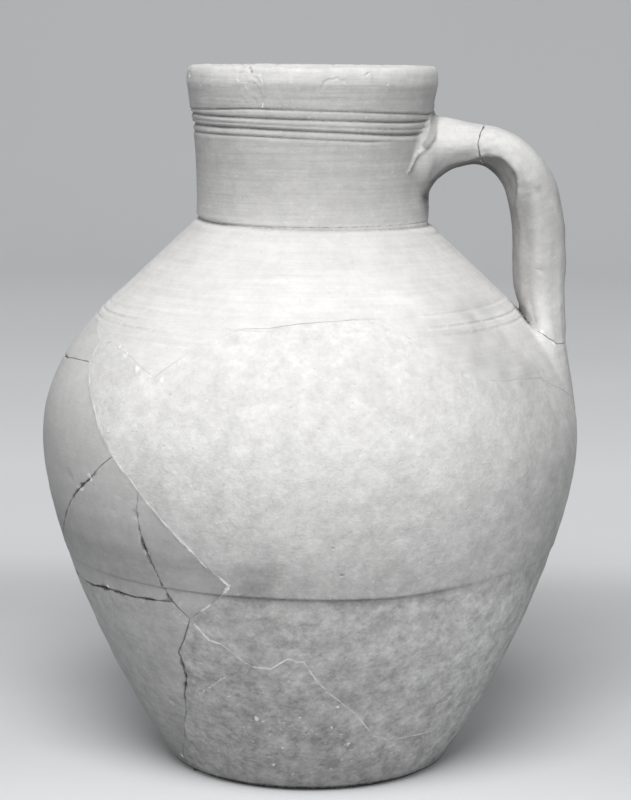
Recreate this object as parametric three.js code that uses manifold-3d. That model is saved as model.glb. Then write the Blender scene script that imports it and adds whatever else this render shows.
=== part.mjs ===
// Mended pottery jug with one handle: the fired sherds lie face to face along their breaks.
// Millimetres, +Z up. The origin is the middle of the flat foot, on the floor.
// The handle points along +X. Azimuth is counted from +X towards +Y, so -90 degrees is the front.
import * as THREE from 'three';
import { mergeVertices } from 'three/addons/utils/BufferGeometryUtils.js';
import Module from 'manifold-3d';

const wasm = await Module();
wasm.setup();

// Body
const FOOT_RADIUS = 54.8;
const FOOT_EDGE = 1.6; // worn edge round the flat foot
const BELLY_RADIUS = 106.5;
const BELLY_HEIGHT = 131.2; // floor to the widest place
const SHOULDER_RISE = 86; // belly to the groove where the neck begins
const CONE_RADIUS = 77.5; // where the round shoulder runs out into a straight cone
const CONE_RISE = 30; // from that place up to the neck groove
const CONE_BLEND = 28; // how far the cone's direction is felt in the round shoulder
const FOOT_FLARE_OUT = 20.2; // how the flank leaves the foot
const FOOT_FLARE_UP = 27.2;
const FLANK_FULLNESS = 36; // how long the flank stays near the belly width
const SHOULDER_FULLNESS = 20;
const STEP_HEIGHT = 86.7; // turning step on the lower body, the upper part overhangs
const STEP_DEPTH = 1;
const STEP_RISE = 1.6;

// Neck and lip
const NECK_HEIGHT = 60.5; // neck groove to the crown of the lip
const NECK_RADIUS = 45.5; // at its foot
const NECK_WAIST = 44.6; // pulls the middle of the neck in
const RIM_RADIUS = 49.6;
const LIP_HEIGHT = 7; // rounded band at the top
const LIP_TURN_IN = 3.4; // from the outside of the rim to the crown of the lip
const LIP_ROUNDING = 1.2; // corner of the lip's round, under the crown

// Walls
const WALL = 6.2;
const FOOT_THICKNESS = 8;
const FLOOR_FILLET = 10; // inside, where the floor turns up into the wall
const MOUTH_BEVEL = 1.2; // the inner edge of the lip lies this much under the crown

// Turned grooves
const RIM_GROOVE_DROPS = [16.7, 20.3, 24.4, 27.5]; // down from the crown of the lip
const RIM_GROOVE_DEPTHS = [0.9, 1, 1.3, 0.6];
const RIM_GROOVE_WIDTH = 2.2;
const NECK_GROOVE_DEPTH = 1.2;
const NECK_GROOVE_WIDTH = 2.4;
const SHOULDER_LINE_DROPS = [30.4, 34.3, 36.6]; // incised lines, down from the neck groove
const SHOULDER_LINE_DEPTH = 0.5;
const SHOULDER_LINE_WIDTH = 1.4;

// Handle
const ROOT_RISE = 24.9; // middle of the root on the neck, above the neck groove
const CREST_RISE = 30; // middle of the arch, above the neck groove
const HANDLE_REACH = 90.3; // axis of the jug to the middle of the grip
const PAD_DROP = 73; // end of the pad on the shoulder, under the neck groove
const ROOT_THICKNESS = 33; // pressed onto the neck
const ROOT_WIDTH = 38;
const ROOT_SMEAR = 6; // the clay spreads by this much more against the neck
const CREST_THICKNESS = 16.5;
const CREST_WIDTH = 25;
const GRIP_THICKNESS = 21;
const GRIP_WIDTH = 26;
const PAD_THICKNESS = 16.5; // pressed onto the shoulder
const PAD_WIDTH = 34;
const PAD_LIFT = 1.2; // middle of the pad, outside the wall's face where the grip joins it
const PAD_SINK = 4.2; // middle of the pad's end, inside the wall's face
const PAD_END_WIDTH = 24;

// Breaks
const BREAK_GAP = 0.3;
const BREAK_REACH = 2; // how far a break surface runs past both faces of the wall
const BREAK_STEP = 12; // longest straight run of a break
const BREAK_RAGGED = 0.5; // how far a break wanders between its corners
const CREVICE_LIFT = 1.2; // the lower handle break runs this far over the shoulder

// Fineness of the turned and drawn surfaces
const OUTER_SIDES = 52;
const INNER_SIDES = 38;
const OUTER_RUN = 11; // longest straight run of the outside's outline
const INNER_RUN = 17;
const LIP_RUNS = 4;
const FILLET_RUNS = 3;
const HANDLE_SIDES = 12;
const HANDLE_RINGS = 22;
const CURVE_SAMPLES = 120;

const BODY_HEIGHT = BELLY_HEIGHT + SHOULDER_RISE;
const LIP_TOP = BODY_HEIGHT + NECK_HEIGHT;
const DEGREE = Math.PI / 180;

// Outline of the turned wall, without its grooves

function flankCurve() {
  return new THREE.CubicBezierCurve(
    new THREE.Vector2(FOOT_RADIUS, 0),
    new THREE.Vector2(FOOT_RADIUS + FOOT_FLARE_OUT, FOOT_FLARE_UP),
    new THREE.Vector2(BELLY_RADIUS, BELLY_HEIGHT - FLANK_FULLNESS),
    new THREE.Vector2(BELLY_RADIUS, BELLY_HEIGHT),
  );
}

function shoulderCurve() {
  const coneTop = new THREE.Vector2(NECK_RADIUS, BODY_HEIGHT);
  const coneFoot = new THREE.Vector2(CONE_RADIUS, BODY_HEIGHT - CONE_RISE);
  const downCone = coneFoot.clone().sub(coneTop).setLength(CONE_BLEND);
  return new THREE.CubicBezierCurve(
    new THREE.Vector2(BELLY_RADIUS, BELLY_HEIGHT),
    new THREE.Vector2(BELLY_RADIUS, BELLY_HEIGHT + SHOULDER_FULLNESS),
    coneFoot.clone().add(downCone),
    coneFoot,
  );
}

function neckCurve() {
  return new THREE.QuadraticBezierCurve(
    new THREE.Vector2(NECK_RADIUS, BODY_HEIGHT),
    new THREE.Vector2(NECK_WAIST, BODY_HEIGHT + NECK_HEIGHT / 2),
    new THREE.Vector2(RIM_RADIUS, LIP_TOP - LIP_HEIGHT),
  );
}

const wallLine = [
  ...flankCurve().getPoints(CURVE_SAMPLES),
  ...shoulderCurve().getPoints(CURVE_SAMPLES).slice(1),
  ...neckCurve().getPoints(CURVE_SAMPLES),
];

// Radius of the smooth outside at a height
function outerRadius(height) {
  const last = wallLine.length - 1;
  let upper = wallLine.findIndex((point, i) => i > 0 && point.y >= height);
  if (upper < 0) upper = last;
  const a = wallLine[upper - 1];
  const b = wallLine[upper];
  const run = Math.max(b.y - a.y, 1e-6);
  return a.x + ((b.x - a.x) * (height - a.y)) / run;
}

// Height at which the shoulder has a radius
function shoulderHeight(radius) {
  const outside = wallLine.findIndex((point) => point.y > BELLY_HEIGHT && point.x <= radius);
  return wallLine[outside].y;
}

// Outward direction of the wall at a height, in the plane of the axis
function wallNormal(height) {
  const span = 2;
  const middle = THREE.MathUtils.clamp(height, span, LIP_TOP - LIP_HEIGHT - span);
  const spread = outerRadius(middle + span) - outerRadius(middle - span);
  return new THREE.Vector2(2 * span, -spread).normalize();
}

// The wall's outline moved inwards by its thickness
function innerRadius(height) {
  const normal = wallNormal(height);
  return outerRadius(height) - WALL / normal.x;
}

// Turned solids

const onOutside = (height) => new THREE.Vector2(outerRadius(height), height);

// Points between two heights of a plain wall, both ends left out
function plainRun(from, to, radiusAt, longest) {
  const steps = Math.ceil((to - from) / longest);
  const points = [];
  for (let i = 1; i < steps; i += 1) {
    const height = THREE.MathUtils.lerp(from, to, i / steps);
    points.push(new THREE.Vector2(radiusAt(height), height));
  }
  return points;
}

function groove(height, depth, width) {
  const bottom = new THREE.Vector2(outerRadius(height) - depth, height);
  return [onOutside(height - width / 2), bottom, onOutside(height + width / 2)];
}

// The overhanging step that the turner left on the lower body
function turningStep() {
  const under = new THREE.Vector2(outerRadius(STEP_HEIGHT) - STEP_DEPTH, STEP_HEIGHT);
  return [onOutside(STEP_HEIGHT - OUTER_RUN / 2), under, onOutside(STEP_HEIGHT + STEP_RISE)];
}

function lip() {
  const round = new THREE.QuadraticBezierCurve(
    new THREE.Vector2(RIM_RADIUS, LIP_TOP - LIP_HEIGHT),
    new THREE.Vector2(RIM_RADIUS, LIP_TOP - LIP_ROUNDING),
    new THREE.Vector2(RIM_RADIUS - LIP_TURN_IN, LIP_TOP),
  );
  return round.getPoints(LIP_RUNS);
}

// From the foot to the lip: the turned features, with plain wall between them
function outsideOutline() {
  const shoulderLines = SHOULDER_LINE_DROPS.map((drop) => (
    groove(BODY_HEIGHT - drop, SHOULDER_LINE_DEPTH, SHOULDER_LINE_WIDTH)
  ));
  const rimGrooves = RIM_GROOVE_DROPS.map((drop, i) => (
    groove(LIP_TOP - drop, RIM_GROOVE_DEPTHS[i], RIM_GROOVE_WIDTH)
  ));
  const features = [
    [onOutside(FOOT_EDGE)],
    turningStep(),
    [onOutside(BELLY_HEIGHT)],
    ...shoulderLines.reverse(),
    groove(BODY_HEIGHT, NECK_GROOVE_DEPTH, NECK_GROOVE_WIDTH),
    ...rimGrooves.reverse(),
    lip(),
  ];
  const wall = features.flatMap((points, i) => {
    if (i === 0) return points;
    const below = features[i - 1].at(-1);
    return [...plainRun(below.y, points[0].y, outerRadius, OUTER_RUN), ...points];
  });
  return [
    new THREE.Vector2(0, 0),
    new THREE.Vector2(FOOT_RADIUS - FOOT_EDGE, 0),
    ...wall,
    new THREE.Vector2(RIM_RADIUS - WALL, LIP_TOP - MOUTH_BEVEL),
    new THREE.Vector2(0, LIP_TOP - MOUTH_BEVEL),
  ];
}

// The floor, its fillet and the inside of the wall, open at the mouth
function cavityOutline() {
  const filletTop = FOOT_THICKNESS + FLOOR_FILLET;
  const filletMiddle = innerRadius(filletTop) - FLOOR_FILLET;
  const fillet = new THREE.EllipseCurve(
    filletMiddle,
    filletTop,
    FLOOR_FILLET,
    FLOOR_FILLET,
    -Math.PI / 2,
    0,
  );
  const mouth = LIP_TOP + BREAK_REACH;
  const turnOfNeck = BODY_HEIGHT - WALL / 2;
  return [
    new THREE.Vector2(0, FOOT_THICKNESS),
    ...fillet.getPoints(FILLET_RUNS),
    ...plainRun(filletTop, turnOfNeck, innerRadius, INNER_RUN),
    new THREE.Vector2(NECK_RADIUS - WALL, turnOfNeck),
    new THREE.Vector2(innerRadius(LIP_TOP - LIP_HEIGHT), LIP_TOP - LIP_HEIGHT),
    new THREE.Vector2(RIM_RADIUS - WALL, mouth),
    new THREE.Vector2(0, mouth),
  ];
}

// Turns a closed geometry into a solid that can be cut and joined
function solid(geometry) {
  const plain = geometry.index ? geometry : geometry.clone();
  for (const name of Object.keys(plain.attributes)) {
    if (name !== 'position') plain.deleteAttribute(name);
  }
  const merged = mergeVertices(plain, 1e-4);
  const index = merged.index.array;
  const faces = [];
  for (let i = 0; i < index.length; i += 3) {
    const [a, b, c] = [index[i], index[i + 1], index[i + 2]];
    if (a !== b && b !== c && c !== a) faces.push(a, b, c);
  }
  const mesh = new wasm.Mesh({
    numProp: 3,
    vertProperties: new Float32Array(merged.attributes.position.array),
    triVerts: new Uint32Array(faces),
  });
  return new wasm.Manifold(mesh);
}

function turned(outline, sides) {
  const geometry = new THREE.LatheGeometry(outline, sides);
  geometry.rotateX(Math.PI / 2);
  return solid(geometry);
}

// A closed skin over a row of sections that all have the same number of points
function lofted(sections) {
  const count = sections[0].length;
  const positions = sections.flat().flatMap((p) => [p.x, p.y, p.z]);
  const faces = [];
  for (let s = 0; s + 1 < sections.length; s += 1) {
    for (let i = 0; i < count; i += 1) {
      const a = s * count + i;
      const b = s * count + ((i + 1) % count);
      faces.push(a, b, b + count, a, b + count, a + count);
    }
  }
  const lastRing = (sections.length - 1) * count;
  for (let i = 1; i + 1 < count; i += 1) {
    faces.push(0, i + 1, i);
    faces.push(lastRing, lastRing + i, lastRing + i + 1);
  }
  const geometry = new THREE.BufferGeometry();
  geometry.setAttribute('position', new THREE.Float32BufferAttribute(positions, 3));
  geometry.setIndex(faces);
  return solid(geometry);
}

// Handle: pulled by hand, and spread where it is pressed onto the neck and the shoulder

const crestHeight = BODY_HEIGHT + CREST_RISE;
const rootHeight = BODY_HEIGHT + ROOT_RISE;
const padHeight = BODY_HEIGHT - PAD_DROP;
const neckFace = outerRadius(rootHeight);

// A section: its middle, its thickness and width, and the turn of its outer face from up to out
function section(x, z, turn, thickness, width) {
  return { middle: new THREE.Vector3(x, 0, z), shape: new THREE.Vector3(thickness, width, turn) };
}

// Share of the way out from the neck to the grip, and down from the crest to the end of the pad
function archSection(out, down, turn, thickness, width) {
  const x = THREE.MathUtils.lerp(neckFace, HANDLE_REACH, out);
  const z = THREE.MathUtils.lerp(crestHeight, padHeight, down);
  return section(x, z, turn, thickness, width);
}

// Between the root and the crest the clay draws in by a share
function drawnSection(out, down, turn, share) {
  const thickness = THREE.MathUtils.lerp(ROOT_THICKNESS, CREST_THICKNESS, share);
  const width = THREE.MathUtils.lerp(ROOT_WIDTH, CREST_WIDTH, share);
  return archSection(out, down, turn, thickness, width);
}

// The pad lies against the shoulder, whatever the shoulder's shape
function padSection(down, turn, lift, thickness, width) {
  const z = THREE.MathUtils.lerp(crestHeight, padHeight, down);
  return section(outerRadius(z) + lift, z, turn, thickness, width);
}

function handleSections() {
  const smear = [ROOT_THICKNESS + ROOT_SMEAR / 2, ROOT_WIDTH + ROOT_SMEAR];
  return [
    section(neckFace - WALL - ROOT_SMEAR / 2, rootHeight, 0, ...smear),
    section(neckFace, rootHeight, 0, ROOT_THICKNESS, ROOT_WIDTH),
    drawnSection(0.085, 0.02, 4, 0.47),
    drawnSection(0.207, 0.003, 5, 0.78),
    drawnSection(0.39, 0, 10, 1),
    archSection(0.59, 0.015, 27, CREST_THICKNESS, CREST_WIDTH),
    archSection(0.77, 0.068, 48, CREST_THICKNESS * 1.1, CREST_WIDTH),
    archSection(0.9, 0.152, 65, GRIP_THICKNESS * 0.95, GRIP_WIDTH),
    archSection(0.975, 0.276, 82, GRIP_THICKNESS * 0.98, GRIP_WIDTH),
    archSection(1, 0.43, 87, GRIP_THICKNESS, GRIP_WIDTH),
    archSection(1.01, 0.567, 98, GRIP_THICKNESS * 0.94, GRIP_WIDTH),
    padSection(0.745, 108, PAD_LIFT, PAD_THICKNESS, PAD_WIDTH),
    padSection(0.873, 107, -PAD_SINK, PAD_THICKNESS * 0.8, PAD_WIDTH),
    padSection(1, 105, -PAD_SINK, WALL, PAD_END_WIDTH),
  ];
}

const sections = handleSections();
const handleLine = new THREE.CatmullRomCurve3(sections.map(({ middle }) => middle));
const handleShape = new THREE.CatmullRomCurve3(sections.map(({ shape }) => shape));

// Middle of the handle at a share of its sections, with its outer face and its run
function handleFrame(at) {
  const turn = handleShape.getPoint(at).z * DEGREE;
  return {
    middle: handleLine.getPoint(at),
    outward: new THREE.Vector3(Math.sin(turn), 0, Math.cos(turn)),
    along: new THREE.Vector3(Math.cos(turn), 0, -Math.sin(turn)),
  };
}

// Faceted oval of the pulled clay
function handleOval(at) {
  const { middle, outward } = handleFrame(at);
  const { x: thickness, y: width } = handleShape.getPoint(at);
  const points = [];
  for (let i = 0; i < HANDLE_SIDES; i += 1) {
    const turn = (-i / HANDLE_SIDES) * 2 * Math.PI;
    const point = middle.clone().addScaledVector(outward, (Math.cos(turn) * thickness) / 2);
    point.y += (Math.sin(turn) * width) / 2;
    points.push(point);
  }
  return points;
}

function handleSolid() {
  const ovals = [];
  for (let i = 0; i <= HANDLE_RINGS; i += 1) ovals.push(handleOval(i / HANDLE_RINGS));
  return lofted(ovals);
}

// Breaks: each is a thin sheet through the wall, along a path drawn on the jug

const SEED_SPREAD = 12.9898;
const WAVE_SPREAD = 43758.5453;
const SECOND_SEED = 7;

// Repeatable unevenness between -1 and 1
function uneven(seed) {
  const wave = Math.sin(seed * SEED_SPREAD) * WAVE_SPREAD;
  return 2 * (wave - Math.floor(wave)) - 1;
}

function pointOnWall(azimuth, height) {
  const radius = outerRadius(height);
  const angle = azimuth * DEGREE;
  return new THREE.Vector3(radius * Math.cos(angle), radius * Math.sin(angle), height);
}

function directionOffWall(azimuth, height) {
  const normal = wallNormal(height);
  const angle = azimuth * DEGREE;
  return new THREE.Vector3(normal.x * Math.cos(angle), normal.x * Math.sin(angle), normal.y);
}

// Adds ragged points between the corners of a path, and leaves the corners where they are
function ragged(corners) {
  const path = [corners[0]];
  for (let i = 0; i + 1 < corners.length; i += 1) {
    const [a, b] = [corners[i], corners[i + 1]];
    const length = pointOnWall(...a).distanceTo(pointOnWall(...b));
    const steps = Math.ceil(length / BREAK_STEP);
    for (let s = 1; s < steps; s += 1) {
      const share = s / steps;
      const height = THREE.MathUtils.lerp(a[1], b[1], share);
      const azimuth = THREE.MathUtils.lerp(a[0], b[0], share);
      const seed = height + azimuth;
      const sideways = (BREAK_RAGGED * uneven(seed)) / (outerRadius(height) * DEGREE);
      path.push([azimuth + sideways, height + BREAK_RAGGED * uneven(seed + SECOND_SEED)]);
    }
    path.push(b);
  }
  return path;
}

const SHARPEST_MITRE = 0.5;

// Sheet through places that each have a direction through the clay and a reach on both sides
function sheet(places) {
  const edges = places.map(({ point, through, out, back }, i) => {
    const before = places[Math.max(i - 1, 0)].point;
    const after = places[Math.min(i + 1, places.length - 1)].point;
    const stepIn = point.clone().sub(before).normalize();
    const stepOut = after.clone().sub(point).normalize();
    const along = stepIn.clone().add(stepOut).normalize();
    const side = new THREE.Vector3().crossVectors(through, along).normalize();
    const isEnd = i === 0 || i + 1 === places.length;
    const mitre = isEnd ? 1 : Math.max(along.dot(stepOut), SHARPEST_MITRE);
    side.multiplyScalar(BREAK_GAP / 2 / mitre);
    const front = point.clone().addScaledVector(through, out);
    const rear = point.clone().addScaledVector(through, -back);
    return [
      front.clone().add(side),
      front.clone().sub(side),
      rear.clone().sub(side),
      rear.clone().add(side),
    ];
  });
  return lofted(edges);
}

function wallBreak(corners) {
  const places = ragged(corners).map(([azimuth, height]) => ({
    point: pointOnWall(azimuth, height),
    through: directionOffWall(azimuth, height),
    out: BREAK_REACH,
    back: WALL + BREAK_REACH,
  }));
  return sheet(places);
}

// Corners given as azimuth and percent of the body's height
const onBody = ([azimuth, percent]) => [azimuth, (percent / 100) * BODY_HEIGHT];

// Corners given as azimuth and percent of the rim band, from its first groove up to the crown
const onRim = ([azimuth, percent]) => [
  azimuth,
  LIP_TOP - (1 - percent / 100) * RIM_GROOVE_DROPS[0],
];

const FOOT_CRACK_LEFT = -143; // azimuths where the crack under the foot reaches its edge
const FOOT_CRACK_BACK = -248;

// Corners where several breaks meet
const MEET = {
  shoulderLeft: [-162, 82.5],
  shoulderFork: [-149, 79.7],
  shortCrack: [-148, 76.5],
  curvedCrack: [-130, 62.3],
  middleCrack: [-123, 57],
  knot: [-119, 37.5],
  cross: [-115, 34.6],
  curvedEnd: [-172, 36.9],
  backUpper: [-222, 79.7],
  backSide: [-225, 74.7],
  backLevel: [-225, 35.6],
  backLower: [-244, 12.9],
  farUpper: [-300, 76.7],
  farLower: [-300, 12.4],
};

// The light line from the shoulder down to the turning step, and back to the cross
const MAIN_DIAGONAL = [
  MEET.shoulderLeft,
  MEET.shoulderFork,
  MEET.shortCrack,
  [-141, 71.8],
  [-135.5, 67],
  MEET.curvedCrack,
  [-125, 59],
  MEET.middleCrack,
  [-115, 50.1],
  [-108, 44.3],
  [-104, 41.8],
  [-106, 39.7],
  [-110, 37.4],
  MEET.cross,
];

// From the left of the shoulder round the back, under the handle, and over the front
const SHOULDER_BREAK = [
  MEET.shoulderLeft,
  [-170, 84.2],
  [-184, 83.8],
  [-203, 81.3],
  MEET.backUpper,
  [-250, 81.8],
  [-280, 78.7],
  MEET.farUpper,
  [-330, 72.7],
  [-352, 68.4],
  [-368, 69],
  [-385, 74.1],
  [-400, 75],
  [-411, 76.1],
  [-415, 79.7],
  [-419, 81.7],
  [-430, 86],
  [-450, 85.1],
  [-465, 84.1],
  [-474, 81.5],
  [-483, 75.9],
  [-492, 78.3],
  [-499, 79.5],
  [-503, 80.3],
  [-509, 79.7],
];

const SHORT_CRACK = [
  MEET.shortCrack,
  [-159, 76.1],
  [-175, 75],
  [-190, 73.7],
  [-208, 75.7],
  MEET.backSide,
];

const CURVED_CRACK = [
  MEET.curvedCrack,
  [-137, 57.7],
  [-145, 53.6],
  [-151, 49.9],
  [-160, 44.7],
  [-168, 40.2],
  MEET.curvedEnd,
];

const MIDDLE_CRACK = [
  MEET.middleCrack,
  [-124, 53.7],
  [-124, 48.6],
  [-123, 45.6],
  [-121, 41.3],
  MEET.knot,
  MEET.cross,
];

const LEVEL_CRACK = [
  MEET.knot,
  [-131, 36.9],
  [-138, 37],
  [-149, 36.2],
  [-159, 36.4],
  MEET.curvedEnd,
  [-190, 35.6],
  [-210, 37.4],
  MEET.backLevel,
];

const UPRIGHT_CRACK = [
  MEET.cross,
  [-118, 30.5],
  [-121, 27.5],
  [-121, 22.8],
  [-124, 18.6],
  [-126, 14.9],
  [-133, 8.1],
  [FOOT_CRACK_LEFT, 2.8],
  [FOOT_CRACK_LEFT, -1.5],
];

// The light line across the front of the foot, then low round the right side and the back
const LOW_BREAK = [
  MEET.cross,
  [-111, 30.9],
  [-108, 30.4],
  [-101, 26.4],
  [-96, 26.1],
  [-92, 28.2],
  [-88, 27.6],
  [-85, 24.1],
  [-78, 19.4],
  [-66, 11.8],
  [-60, 10.3],
  [-44, 10.5],
  [-25, 8.8],
  [0, 11.4],
  [30, 9.9],
  [60, 12.4],
  [90, 10.9],
  [116, 12.9],
];

const FAR_BREAK = [
  MEET.farUpper,
  [-303, 67.6],
  [-296, 57.5],
  [-301, 46.3],
  [-297, 35.2],
  [-303, 23],
  MEET.farLower,
];

const BACK_BREAK = [
  MEET.backUpper,
  MEET.backSide,
  [-229, 63.5],
  [-222, 54.4],
  [-227, 44.3],
  MEET.backLevel,
  [-232, 26.1],
  [-238, 19],
  MEET.backLower,
  [FOOT_CRACK_BACK, 3.8],
  [FOOT_CRACK_BACK, -1.5],
];

const BODY_BREAKS = [
  MAIN_DIAGONAL,
  SHOULDER_BREAK,
  SHORT_CRACK,
  CURVED_CRACK,
  MIDDLE_CRACK,
  LEVEL_CRACK,
  UPRIGHT_CRACK,
  LOW_BREAK,
  FAR_BREAK,
  BACK_BREAK,
];

// The piece of rim at the left: it broke away down to the first groove
const RIM_BREAK = [
  [-120, 129],
  [-115, 84],
  [-109, 64],
  [-109, 35],
  [-110, 13],
  [-116, 4],
  [-150, 1],
  [-178, 3],
  [-196, 9],
  [-203, 42],
  [-201, 82],
  [-206, 129],
];

// Under the foot, given as azimuth and percent of the foot's radius
const FOOT_BREAK = [
  [FOOT_CRACK_LEFT, 107],
  [FOOT_CRACK_LEFT, 77],
  [-160, 55],
  [-202, 45],
  [-230, 60],
  [FOOT_CRACK_BACK, 77],
  [FOOT_CRACK_BACK, 107],
];

function footBreak() {
  const places = FOOT_BREAK.map(([azimuth, percent]) => {
    const radius = (percent / 100) * FOOT_RADIUS;
    const angle = azimuth * DEGREE;
    return {
      point: new THREE.Vector3(radius * Math.cos(angle), radius * Math.sin(angle), 0),
      through: new THREE.Vector3(0, 0, -1),
      out: BREAK_REACH,
      back: FOOT_THICKNESS + BREAK_REACH,
    };
  });
  return sheet(places);
}

// A break through the handle, as a line of points in the plane of the handle
function handleBreak(line) {
  const reach = Math.max(ROOT_WIDTH, PAD_WIDTH) / 2 + BREAK_REACH;
  const places = line.map((point) => ({
    point,
    through: new THREE.Vector3(0, -1, 0),
    out: reach,
    back: reach,
  }));
  return sheet(places);
}

const UPPER_BREAK_AT = 0.33; // share of the handle's sections, just before the crest

// Percent of the half thickness outwards, and millimetres along the handle
const UPPER_BREAK = [
  [-140, 7],
  [-90, 4.5],
  [-50, 1.5],
  [10, -0.8],
  [60, -0.8],
  [150, 1.5],
];

function upperHandleBreak() {
  const { middle, along, outward } = handleFrame(UPPER_BREAK_AT);
  const halfThickness = CREST_THICKNESS / 2;
  return handleBreak(UPPER_BREAK.map(([percent, ahead]) => {
    const point = middle.clone().addScaledVector(along, ahead);
    return point.addScaledVector(outward, (percent / 100) * halfThickness);
  }));
}

// Along the crevice over the shoulder, then out through the foot of the grip
function lowerHandleBreak() {
  const overShoulder = (radius) => (
    new THREE.Vector3(radius, 0, shoulderHeight(radius) + CREVICE_LIFT)
  );
  const half = GRIP_THICKNESS / 2;
  const turn = overShoulder(HANDLE_REACH);
  return handleBreak([
    overShoulder(HANDLE_REACH - 2 * half),
    overShoulder(HANDLE_REACH - half),
    turn,
    turn.clone().add(new THREE.Vector3(0.6 * half, 0, -0.4 * half)),
    turn.clone().add(new THREE.Vector3(2 * half, 0, -0.6 * half)),
  ]);
}

// Whole jug, cut into its sherds

const outside = turned(outsideOutline(), OUTER_SIDES);
const cavity = turned(cavityOutline(), INNER_SIDES);
const wholeJug = outside.add(handleSolid()).subtract(cavity);
const breakSheets = [
  ...BODY_BREAKS.map((corners) => wallBreak(corners.map(onBody))),
  wallBreak(RIM_BREAK.map(onRim)),
  footBreak(),
  upperHandleBreak(),
  lowerHandleBreak(),
];
const broken = breakSheets.reduce((jug, cut) => jug.subtract(cut), wholeJug).decompose();

// A place inside the wall at the middle of a sherd
function insideWall([azimuth, height]) {
  return pointOnWall(azimuth, height).addScaledVector(directionOffWall(azimuth, height), -WALL / 2);
}

const SHERDS = [
  { name: 'neck_and_shoulder', place: insideWall(onBody([-90, 94])), colour: 0xd9d5cb },
  { name: 'rim_left_sherd', place: insideWall(onRim([-150, 42])), colour: 0xbdb9b0 },
  { name: 'handle_grip', place: handleLine.getPoint(0.7), colour: 0xd2cec5 },
  { name: 'shoulder_left_sherd', place: insideWall(onBody([-178, 79.5])), colour: 0xc9c5bb },
  { name: 'belly_front_sherd', place: insideWall(onBody([-70, 55])), colour: 0xcdc8be },
  { name: 'belly_back_sherd', place: insideWall(onBody([97, 47])), colour: 0xc4bfb5 },
  { name: 'side_round_sherd', place: insideWall(onBody([-170, 58])), colour: 0xb6b2a9 },
  { name: 'side_wedge_sherd', place: insideWall(onBody([-140, 46])), colour: 0xaaa69d },
  { name: 'side_point_sherd', place: insideWall(onBody([-113.5, 43])), colour: 0xb0aca3 },
  { name: 'base_left_sherd', place: insideWall(onBody([-150, 20])), colour: 0xaba79e },
  { name: 'base_front_sherd', place: insideWall(onBody([-95, 14])), colour: 0xb4afa5 },
];

const PROBE_RADIUS = 0.5;

// The sherd that holds a place
function sherdAt(place) {
  const ball = new THREE.SphereGeometry(PROBE_RADIUS).translate(place.x, place.y, place.z);
  const probe = solid(ball);
  return broken.find((piece) => piece.intersect(probe).volume() > 0);
}

function sherdMesh({ name, place, colour }) {
  const { vertProperties, triVerts } = sherdAt(place).getMesh();
  const geometry = new THREE.BufferGeometry();
  geometry.setAttribute('position', new THREE.BufferAttribute(vertProperties, 3));
  geometry.setIndex(new THREE.BufferAttribute(triVerts, 1));
  geometry.computeVertexNormals();
  const clay = new THREE.MeshStandardMaterial({ color: colour, roughness: 0.92, metalness: 0 });
  const mesh = new THREE.Mesh(geometry, clay);
  mesh.name = name;
  return mesh;
}

const jug = new THREE.Group();
for (const sherd of SHERDS) jug.add(sherdMesh(sherd));

export default jug;
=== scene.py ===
# Mended pottery jug with one handle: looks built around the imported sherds.
# The jug's lengths are millimetres until its meshes are written. The stage and the light are in metres.
import math

import bpy
import numpy as np
from mathutils import Matrix, Vector
from mathutils.kdtree import KDTree


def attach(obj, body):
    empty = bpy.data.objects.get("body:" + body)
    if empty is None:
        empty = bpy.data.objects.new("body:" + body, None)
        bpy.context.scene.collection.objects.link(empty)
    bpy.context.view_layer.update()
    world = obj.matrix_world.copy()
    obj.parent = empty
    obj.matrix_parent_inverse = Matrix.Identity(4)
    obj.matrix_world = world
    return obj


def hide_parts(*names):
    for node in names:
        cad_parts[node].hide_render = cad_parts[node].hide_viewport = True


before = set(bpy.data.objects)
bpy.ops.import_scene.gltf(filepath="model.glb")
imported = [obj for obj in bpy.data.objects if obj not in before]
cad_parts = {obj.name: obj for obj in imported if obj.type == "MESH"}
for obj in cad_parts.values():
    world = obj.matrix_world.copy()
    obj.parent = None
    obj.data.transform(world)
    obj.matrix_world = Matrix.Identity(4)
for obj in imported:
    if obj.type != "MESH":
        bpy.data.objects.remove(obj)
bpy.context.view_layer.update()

MM = 0.001

# Outline of the turned wall, as in the solids
FOOT_RADIUS = 54.8
FOOT_EDGE = 1.6
BELLY_RADIUS = 106.5
BELLY_HEIGHT = 131.2
BODY_HEIGHT = 217.2
CONE_RADIUS = 77.5
CONE_RISE = 30
CONE_BLEND = 28
FOOT_FLARE_OUT = 20.2
FOOT_FLARE_UP = 27.2
FLANK_FULLNESS = 36
SHOULDER_FULLNESS = 20
NECK_HEIGHT = 60.5
NECK_RADIUS = 45.5
NECK_WAIST = 44.6
RIM_RADIUS = 49.6
LIP_HEIGHT = 7
LIP_TURN_IN = 3.4
LIP_ROUNDING = 1.2
WALL = 6.2
FOOT_THICKNESS = 8
FLOOR_FILLET = 10
LIP_TOP = BODY_HEIGHT + NECK_HEIGHT
OUTER_SIDES = 52
INNER_SIDES = 38
CURVE_POINTS = 200
HEIGHT_SAMPLES = 2800
EASING = 15
NECK_BLEND = 12

# Handle, as in the solids
ROOT_RISE = 24.9
CREST_RISE = 30
HANDLE_REACH = 90.3
PAD_DROP = 73
ROOT_THICKNESS = 33
ROOT_WIDTH = 38
ROOT_SMEAR = 6
CREST_THICKNESS = 16.5
CREST_WIDTH = 25
GRIP_THICKNESS = 21
GRIP_WIDTH = 26
PAD_THICKNESS = 16.5
PAD_WIDTH = 34
PAD_LIFT = 1.2
PAD_SINK = 4.2
PAD_END_WIDTH = 24
HANDLE_STATIONS = 110
HANDLE_BATCH = 20000
OFF_THE_ENDS = 40

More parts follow.
